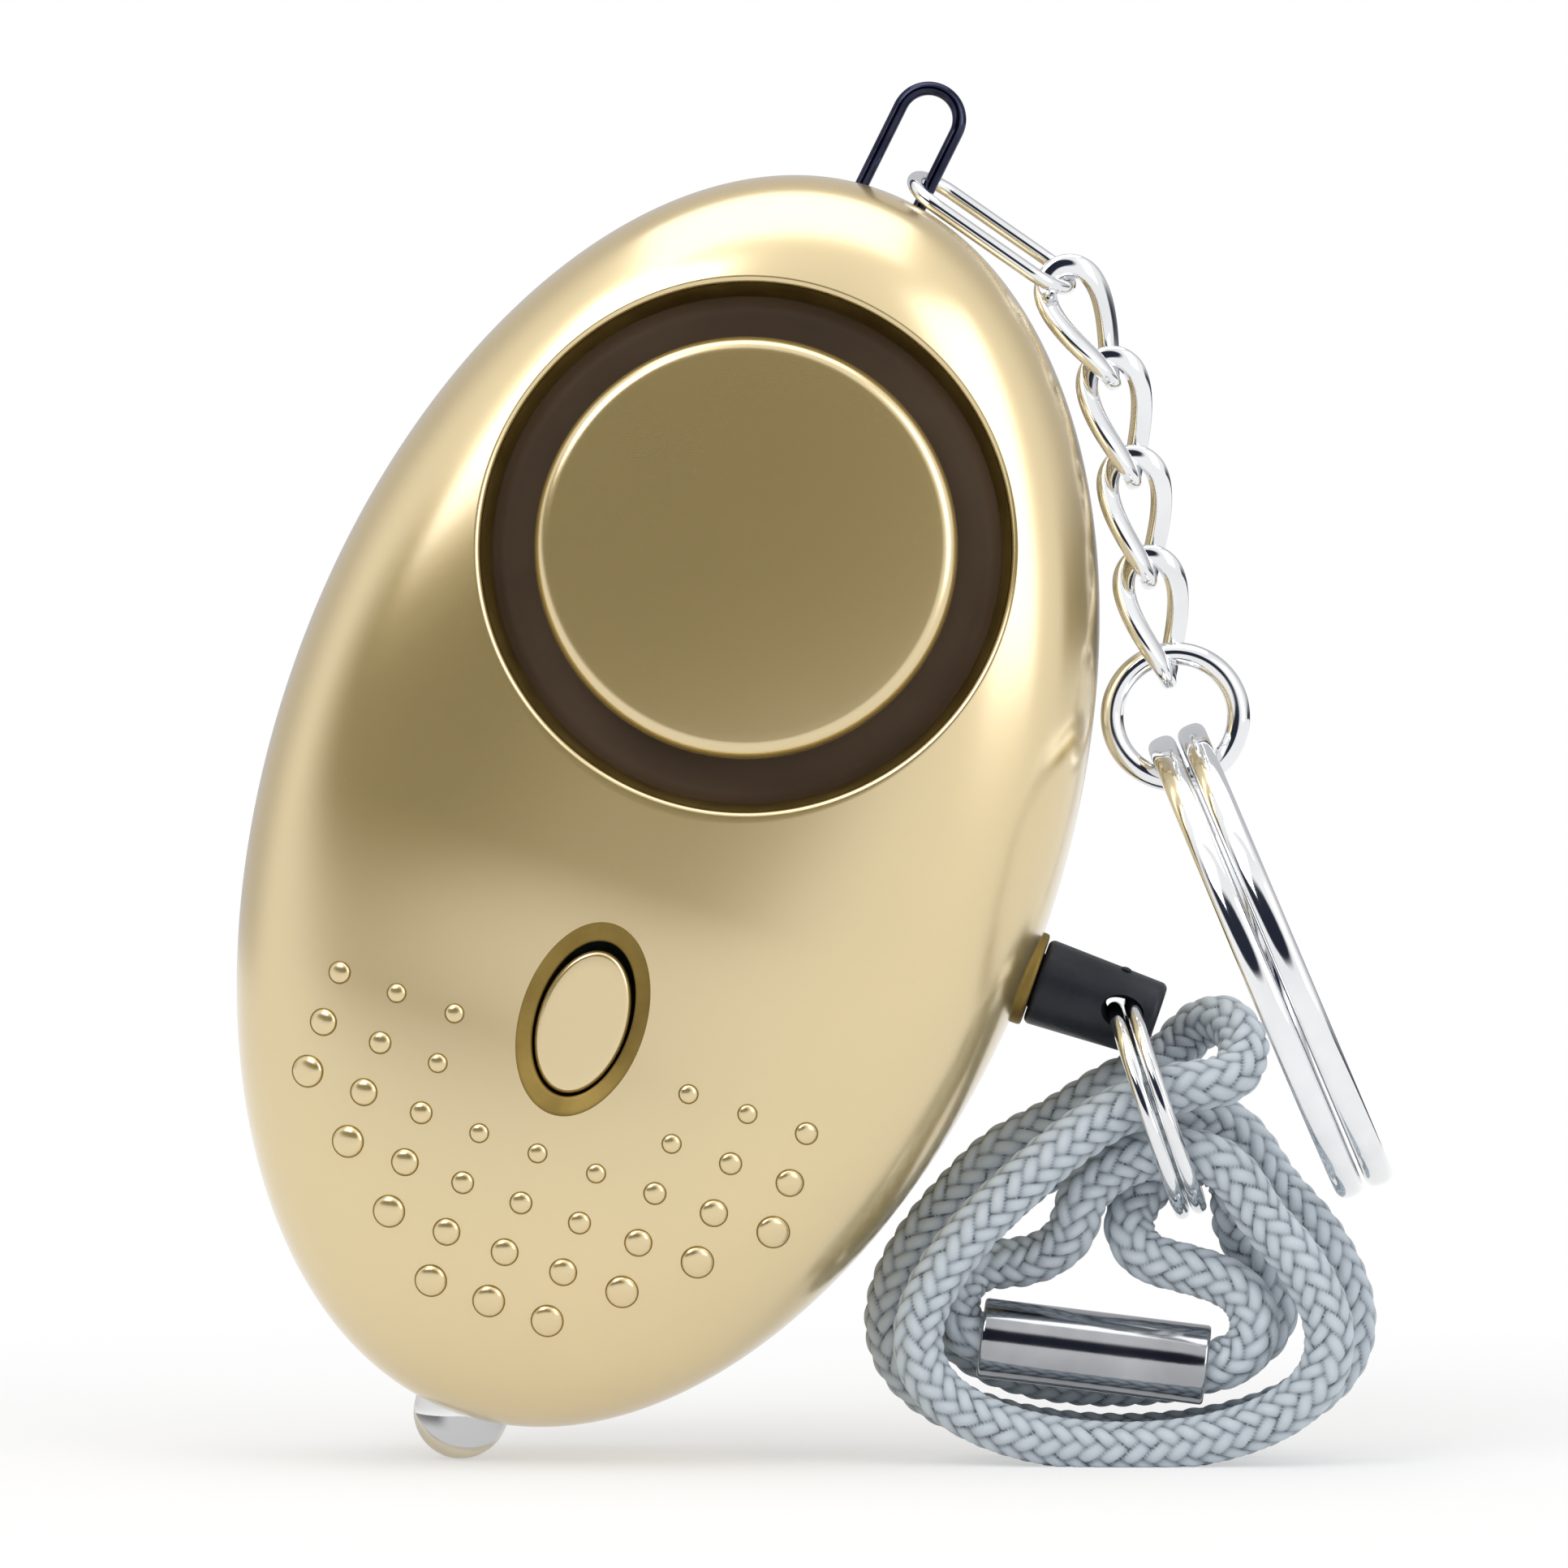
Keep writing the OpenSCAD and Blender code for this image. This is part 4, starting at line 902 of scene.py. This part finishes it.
# Chain and rings
def long_path(length, width, wire, arc=40, rail=24):
    """The middle of a long link's wire, hung by its top from the origin: two half circles and two rails."""
    r = (width - wire) / 2
    low = -r - (length - width)
    a = np.linspace(0, math.pi, arc)
    top = np.stack([r * np.cos(a), 0 * a, -r + r * np.sin(a)], -1)
    foot = np.stack([-r * np.cos(a), 0 * a, low - r * np.sin(a)], -1)
    k = np.linspace(0, 1, rail)[1:-1, None]
    left = top[-1] + (foot[0] - top[-1]) * k
    right = foot[-1] + (top[0] - foot[-1]) * k
    return np.concatenate([top, left, foot, right])


def leaning(p, degrees):
    """Points turned about the front-to-back axis, so that what hangs straight leans to the right."""
    a = math.radians(degrees)
    x = p[..., 0] * math.cos(a) - p[..., 2] * math.sin(a)
    z = p[..., 0] * math.sin(a) + p[..., 2] * math.cos(a)
    return np.stack([x, p[..., 1], z], -1)


CHAIN_GAP = 0.07
LOOP_L = 11.7
LOOP_W = 3.8
LOOP_WIRE = 0.7
LOOP_RISE = 6.1
LOOP_LEAN = 7.5
LOOP_FOOT = np.array([0.7, 0, HALF_L])
LOOP_ACROSS = leaning(np.array([1.0, 0, 0]), -LOOP_LEAN)
LOOP_UP = leaning(np.array([0, 0, 1.0]), -LOOP_LEAN)
END_WIRE = 0.75
END_L = 10.1
END_W = 4.4
END_TURN = math.radians(18)
END_LEAN = 55
END_RISE = 1.2
LOOP_LEG = in_part(LOOP_FOOT + (LOOP_W - LOOP_WIRE) / 2 * LOOP_ACROSS + END_RISE * LOOP_UP)
LOOP_SIDE = in_part(LOOP_ACROSS) - in_part(np.zeros(3))
END_TOP = LOOP_LEG - ((LOOP_WIRE + END_WIRE) / 2 + CHAIN_GAP) * LOOP_SIDE
END_LOW = END_TOP + (END_L - END_WIRE) * hang(END_LEAN)
LINK_LEANS = [25, 12, 9, 11]
LINK_L = 7.35
LINK_W = 4.2
LINK_WIRE = 1.1
LINK_FLAT = 0.84
LINK_C = LINK_L - LINK_WIRE
FRONT_BACK = np.array([0, 1, 0])


def make_wire_loop():
    """The dark wire loop on the casing's top: a long link whose lower half is inside the casing."""
    raised = long_path(LOOP_L, LOOP_W, LOOP_WIRE) + np.array([0, 0, LOOP_RISE - LOOP_WIRE / 2])
    path = leaning(raised, -LOOP_LEAN) + LOOP_FOOT
    points, quads = sheet_of(tube(path, disc(LOOP_WIRE / 2, 20), FRONT_BACK, True), looped=True)
    make_piece("top_loop", (in_part(points), quads), dark_wire, "housing", ["wire_loop"])


def make_end_link():
    """The long link: its flat path turned about its own length, nearly edge-on, and hung at its lean."""
    flat = long_path(END_L, END_W, END_WIRE)
    turned = np.stack([flat[:, 0] * math.sin(END_TURN), flat[:, 0] * math.cos(END_TURN), flat[:, 2]], -1)
    up = np.array([math.cos(END_TURN), -math.sin(END_TURN), 0])
    ring = tube(turned, disc(END_WIRE / 2, 24), up, True)
    sheet = sheet_of(leaning(ring, END_LEAN) + END_TOP, looped=True)
    make_piece("long_end_link", sheet, chrome_steel, "end_link", ["end_link"])


def link_path(count=120):
    """The middle of a twisted link's wire: an oval, flat to the front at its top and edge-on at its foot."""
    a = round_angles(count)
    along = LINK_C / 2 * np.cos(a)
    across = (LINK_W - LINK_WIRE) / 2 * np.sin(a) * (1 + 0.25 * np.cos(a) ** 2)
    turn = math.pi / 4 * (1 - np.cos(a))
    return np.stack([across * np.cos(turn), across * np.sin(turn), along], -1)


def ground_bar(wide, high, steps=28):
    """A wire's section ground flat on two sides: an oval whose sideways part is pushed out to a flat."""
    a = (np.arange(steps) + 0.5) * TURN / steps
    x = wide / 2 * np.sign(np.cos(a)) * np.abs(np.cos(a)) ** 0.55
    return np.stack([x, high / 2 * np.sin(a)], -1)


def make_chain():
    """The twisted links, each hung at its own lean in the foot of the one above: returns the last foot."""
    low = END_LOW
    step = (END_WIRE + LINK_WIRE) / 2 + CHAIN_GAP + 0.05
    path = link_path()
    ring = tube(path, ground_bar(LINK_FLAT, LINK_WIRE), unit(path), True)
    for k, lean in enumerate(LINK_LEANS):
        mid = low + (LINK_C / 2 - step) * hang(lean)
        sheet = sheet_of(leaning(ring, lean) + mid, looped=True)
        body = "link_%d" % (k + 1)
        make_piece("curb_" + body, sheet, chrome_steel, body, ["chain_" + body])
        low = low + (LINK_C - step) * hang(lean)
        step = LINK_WIRE + CHAIN_GAP
    return low


chain_foot = make_chain()
JUMP_WIRE = 1.15
JUMP_R = (7.5 - JUMP_WIRE) / 2
JUMP_LEAN = 11
JUMP_MID = chain_foot + (JUMP_R - (LINK_WIRE + JUMP_WIRE) / 2 - CHAIN_GAP) * hang(JUMP_LEAN)
KEY_BAR = 1.3
KEY_R = (25 - KEY_BAR) / 2
KEY_LEAN = 23
KEY_PITCH = 1.6
KEY_SEAT = JUMP_R - (JUMP_WIRE + KEY_BAR) / 2 - CHAIN_GAP - 0.55
KEY_MID = JUMP_MID + KEY_SEAT * hang(6) + KEY_R * hang(KEY_LEAN)


def make_jump_ring():
    """The plain round ring at the foot of the chain, flat to the front."""
    a = round_angles(160)
    path = JUMP_R * np.stack([np.cos(a), 0 * a, np.sin(a)], -1)
    sheet = sheet_of(tube(path, disc(JUMP_WIRE / 2, 24), FRONT_BACK, True) + JUMP_MID, looped=True)
    make_piece("round_ring", sheet, chrome_steel, "jump", ["jump_ring"])


def split_path(r, pitch, count):
    """Two turns of a split ring: a circle with a smooth side step from one turn to the other."""
    half_step = 35
    a = np.linspace(half_step, 720 - half_step, count)
    over = np.clip((a - 360 + half_step) / (2 * half_step), 0, 1)
    over = over * over * (3 - 2 * over)
    a = np.radians(a)
    return np.stack([pitch * (over - 0.5), r * np.cos(a), r * np.sin(a)], -1)


def make_split_ring(name, node, mid, lean, r, pitch, section, body, count):
    """A split ring of a section, seen edge-on: its two turns lie side by side, and it hangs at a lean."""
    path = split_path(r, pitch, count)
    ring = capped(tube(path, section, np.array([1, 0, 0]), False))
    make_piece(name, sheet_of(leaning(ring, lean) + mid), chrome_steel, body, [node])


PIN_EDGES = (0.32, 0.35)
PIN_BODY = (PIN_NEAR + PIN_EDGES[0], PIN_FAR - PIN_EDGES[1])


def pin_profile():
    """The pin's outline, as places along it and radii: a thin tip, a shaft and a tapered head."""
    turn = np.linspace(0, math.pi / 2, 7)
    near_edge, far_edge = PIN_EDGES
    near = np.stack([PIN_BODY[0] - near_edge * np.cos(turn), PIN_NEAR_R - near_edge * (1 - np.sin(turn))], -1)
    body = np.stack([np.linspace(*PIN_BODY, 42), np.linspace(PIN_NEAR_R, PIN_FAR_R, 42)], -1)[1:-1]
    far = np.stack([PIN_BODY[1] + far_edge * np.sin(turn), PIN_FAR_R - far_edge * (1 - np.cos(turn))], -1)
    tip = np.array([[11, 0], [11, 0.2], [11.2, 0.3], [13, 0.6], [14.4, 0.6], [15.4, 1.4], [PIN_NEAR, 1.4]])
    return np.concatenate([tip, near, body, far, [[PIN_FAR, 0.8], [PIN_FAR, 0]]])


def pin_skin(x, z):
    """Depth of the head's skin from its axis, at a place along it and a height, on the tapered radius."""
    radius = PIN_NEAR_R - (PIN_NEAR_R - PIN_FAR_R) * (x - PIN_BODY[0]) / (PIN_BODY[1] - PIN_BODY[0])
    return np.sqrt(radius ** 2 - (z - PIN_Z) ** 2)


def pin_hole_wall(middle, half):
    """The cross hole's wall from front to back: an oval that narrows to a waist."""
    a = round_angles(72)
    k = np.linspace(-1, 1, 17)[:, None]
    waist = np.array([0.88, 0.40])
    size = waist + (np.array(half) - waist) * k ** 2
    x = middle[0] - 0.06 * (1 - k ** 2) + size[:, :1] * np.cos(a)
    z = middle[1] + 0.21 * (1 - k ** 2) + size[:, 1:] * np.sin(a)
    deep = pin_skin(middle[0] + half[0] * np.cos(a), middle[1] + half[1] * np.sin(a))
    return np.stack([x, k * deep, z], -1)


def moulding_mark():
    """A small dome on the top of the pin's head, where it was moulded."""
    turn = np.linspace(0, math.pi / 2, 7)
    dome = lathe(np.stack([0.3 * np.cos(turn), 0.16 * np.sin(turn)], -1), 20)
    return dome + np.array([PIN_HOLE_X - 0.5, -0.45, PIN_Z + PIN_FAR_R])


def make_pull_pin():
    """The pull pin: its profile turned about its own axis, with a cross hole through its head."""
    ring = lathe(pin_profile()[:, ::-1], 120)
    points, quads = sheet_of(np.stack([ring[..., 2], -ring[..., 1], PIN_Z + ring[..., 0]], -1))
    middle = (PIN_HOLE_X, PIN_Z - 0.05)
    half = (1.1, 0.86)
    head = points[:, 0] > PIN_NEAR + 0.4
    front = head & (points[:, 1] < 0)
    points, quads = cut_oval(points, quads, middle, half, lambda x, z: -pin_skin(x, z), front)
    rear = head & (points[:, 1] > 0)
    points, quads = cut_oval(points, quads, middle, half, pin_skin, rear)
    wall, wall_quads = sheet_of(pin_hole_wall(middle, half))
    # The hole's wall is darker and more matte than the pin: painted shade inside the hole.
    make_piece("pin_hole", (in_part(wall), wall_quads), hole_painted_shade, "pin")
    points, quads = joined((points, quads), sheet_of(moulding_mark()))
    make_piece("black_pin", (in_part(points), quads), black_plastic, "pin", ["pull_pin"])


make_pull_pin()
PIN_RING_WIRE = 0.8
PIN_RING_R = (11.5 - PIN_RING_WIRE) / 2
PIN_RING_LEAN = 18.5
PIN_RING_PITCH = 0.88
PIN_RING_SAG = 0.18
PIN_RING_TOP = in_part(np.array([PIN_HOLE_X, 0, PIN_Z])) + np.array([0, 0, PIN_RING_SAG])
PIN_RING_MID = PIN_RING_TOP + PIN_RING_R * hang(PIN_RING_LEAN)

make_wire_loop()
make_end_link()
make_jump_ring()
make_split_ring("flat_key_ring", "key_ring", KEY_MID, KEY_LEAN, KEY_R, KEY_PITCH,
                oval_bar(KEY_BAR, 1.45, 2.6, 28), "key", 420)
make_split_ring("small_split_ring", "pin_ring", PIN_RING_MID, PIN_RING_LEAN, PIN_RING_R, PIN_RING_PITCH,
                disc(PIN_RING_WIRE / 2, 20), "pin", 300)


# Finishes of the solids that show as they are
SOLID_FINISHES = {
    "case_screws": plain_steel, "sounder_disc": brass_strip, "sounder_ceramic": ivory_ceramic,
    "switch_body": black_plastic, "switch_plunger": plain_steel, "circuit_board": board_green,
    "boost_coil": coil_brown, "driver_chip": black_plastic, "led_lamp": clear_lens,
    "led_leads": plain_steel, "button_cells": plain_steel, "cell_plate": brass_strip,
    "cell_spring": brass_strip, "fixed_contact": brass_strip, "contact_post": brass_strip,
    "moving_contact": brass_strip,
}
for node, material in SOLID_FINISHES.items():
    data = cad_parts[node].data
    data.materials.clear()
    data.materials.append(material)


# Floor, light and background, in metres
AIM = Vector((0, 0, 0.035))
WHITE = (1.0, 1.0, 1.0)
NAVY = (0.02, 0.024, 0.04)
GREY = (0.58, 0.58, 0.60)
SLATE = (0.04, 0.045, 0.06)
ROOM_LIGHT = 0.42


def seen_rays(nodes, links):
    """1 for rays from the camera and for those that metal and glass send on, and 0 for the rest."""
    rays = nodes.new("ShaderNodeLightPath")
    value = rays.outputs["Is Camera Ray"]
    for kind in ("Is Glossy Ray", "Is Transmission Ray"):
        value = math_node(nodes, links, "MAXIMUM", value, rays.outputs[kind])
    return value


def make_floor():
    """A white sheet: near the object it is half its own shaded colour, and further off it is white."""
    corners = [(-1.2, -0.24, 0), (1.2, -0.24, 0), (1.2, 1.2, 0), (-1.2, 1.2, 0)]
    mesh = bpy.data.meshes.new("floor")
    mesh.from_pydata(corners, [], [(0, 1, 2, 3)])
    material, nodes, links, shader = new_material("floor_white")
    tone = noise_node(nodes, links, 4, 1)
    links.new(ramp_node(nodes, links, tone, [(0.0, (0.93, 0.93, 0.93)), (1.0, (0.96, 0.96, 0.96))]),
              shader.inputs["Base Color"])
    shader.inputs["Roughness"].default_value = 0.9
    place = nodes.new("ShaderNodeTexCoord")
    far = length_node(nodes, links, place.outputs["Object"])
    share = range_node(nodes, links, far, 0.5, 1.0, 0.04, 0.10)
    amount = math_node(nodes, links, "MULTIPLY", share, seen_rays(nodes, links))
    white = nodes.new("ShaderNodeEmission")
    white.inputs["Strength"].default_value = 1.0
    mix = nodes.new("ShaderNodeMixShader")
    links.new(amount, mix.inputs["Fac"])
    links.new(shader.outputs["BSDF"], mix.inputs[1])
    links.new(white.outputs["Emission"], mix.inputs[2])
    out = [node for node in nodes if node.type == "OUTPUT_MATERIAL"][0]
    links.new(mix.outputs["Shader"], out.inputs["Surface"])
    mesh.materials.append(material)
    floor = bpy.data.objects.new("floor", mesh)
    scene.collection.objects.link(floor)


def add_lamp(name, place, size, power):
    """A soft rectangular lamp that points at the middle of the object."""
    data = bpy.data.lights.new(name, "AREA")
    data.shape = "RECTANGLE"
    data.size = size[0]
    data.size_y = size[1]
    data.energy = power
    lamp = bpy.data.objects.new(name, data)
    lamp.location = place
    lamp.rotation_euler = (AIM - Vector(place)).to_track_quat("-Z", "Y").to_euler()
    scene.collection.objects.link(lamp)


def mixed_colour(nodes, links, amount, first, second):
    """A colour between two, by an amount from 0 to 1."""
    mix = nodes.new("ShaderNodeMix")
    mix.data_type = "RGBA"
    links.new(amount, mix.inputs[0])
    if isinstance(first, tuple):
        mix.inputs[6].default_value = (*first, 1)
    else:
        links.new(first, mix.inputs[6])
    mix.inputs[7].default_value = (*second, 1)
    return mix.outputs[2]


def soft_inside(nodes, links, value, full, none):
    """1 where a value is on the full side, 0 past none, and smooth between them."""
    return range_node(nodes, links, value, 1.0, 0.0, full, none, "SMOOTHSTEP")


def way_parts(nodes, links, way):
    """The three parts of a direction."""
    parts = nodes.new("ShaderNodeSeparateXYZ")
    links.new(way, parts.inputs["Vector"])
    return parts.outputs


def dark_window(nodes, links, way, middle, half, full, none):
    """How far a direction is inside a dark oval at the front of the studio, by its side and upward parts."""
    moved = nodes.new("ShaderNodeMapping")
    moved.vector_type = "POINT"
    set_inputs(moved, {"Location": (-middle[0] / half[0], 0, -middle[1] / half[1]),
                       "Scale": (1 / half[0], 0, 1 / half[1])})
    links.new(way, moved.inputs["Vector"])
    inside = soft_inside(nodes, links, length_node(nodes, links, moved.outputs["Vector"]), full, none)
    front = soft_inside(nodes, links, way_parts(nodes, links, way)["Y"], -0.3, 0.0)
    return math_node(nodes, links, "MULTIPLY", inside, front)


def dark_corner(nodes, links, way):
    """The dark corner of the studio: low on the right, behind the object."""
    parts = way_parts(nodes, links, way)
    behind = soft_inside(nodes, links, parts["Y"], 0.15, 0.0)
    right = soft_inside(nodes, links, parts["X"], 0.3, 0.05)
    low = soft_inside(nodes, links, parts["Z"], 0.0, 0.25)
    return math_node(nodes, links, "MULTIPLY", math_node(nodes, links, "MULTIPLY", behind, right), low)


def light_world():
    """White to the camera, soft white light to most rays, and a studio to those from metal and glass.

    The studio is white, with a dark window in front, a grey back and a dark corner.
    """
    world = bpy.data.worlds.new("studio")
    scene.world = world
    world.use_nodes = True
    nodes = world.node_tree.nodes
    links = world.node_tree.links
    nodes.clear()
    out = nodes.new("ShaderNodeOutputWorld")
    place = nodes.new("ShaderNodeTexCoord")
    way = place.outputs["Generated"]
    wide = dark_window(nodes, links, way, (-0.30, 0.24), (0.58, 0.32), 0.9, 1.25)
    colour = mixed_colour(nodes, links, wide, WHITE, NAVY)
    behind = soft_inside(nodes, links, way_parts(nodes, links, way)["Y"], 0.55, -0.1)
    colour = mixed_colour(nodes, links, behind, colour, GREY)
    colour = mixed_colour(nodes, links, dark_corner(nodes, links, way), colour, SLATE)
    room = nodes.new("ShaderNodeBackground")
    set_inputs(room, {"Strength": ROOM_LIGHT, "Color": (*WHITE, 1)})
    studio = nodes.new("ShaderNodeBackground")
    links.new(colour, studio.inputs["Color"])
    white = nodes.new("ShaderNodeBackground")
    white.inputs["Color"].default_value = (*WHITE, 1)
    rays = nodes.new("ShaderNodeLightPath")
    first = nodes.new("ShaderNodeMixShader")
    links.new(seen_rays(nodes, links), first.inputs["Fac"])
    links.new(room.outputs["Background"], first.inputs[1])
    links.new(studio.outputs["Background"], first.inputs[2])
    second = nodes.new("ShaderNodeMixShader")
    links.new(rays.outputs["Is Camera Ray"], second.inputs["Fac"])
    links.new(first.outputs["Shader"], second.inputs[1])
    links.new(white.outputs["Background"], second.inputs[2])
    links.new(second.outputs["Shader"], out.inputs["Surface"])


make_floor()
add_lamp("key_lamp", (-0.35, -0.45, 0.5), (0.4, 0.4), 1.7)
add_lamp("fill_lamp", (0.45, -0.35, 0.25), (0.3, 0.5), 1.0)
add_lamp("top_lamp", (0, -0.02, 0.6), (0.6, 0.5), 1.6)
light_world()
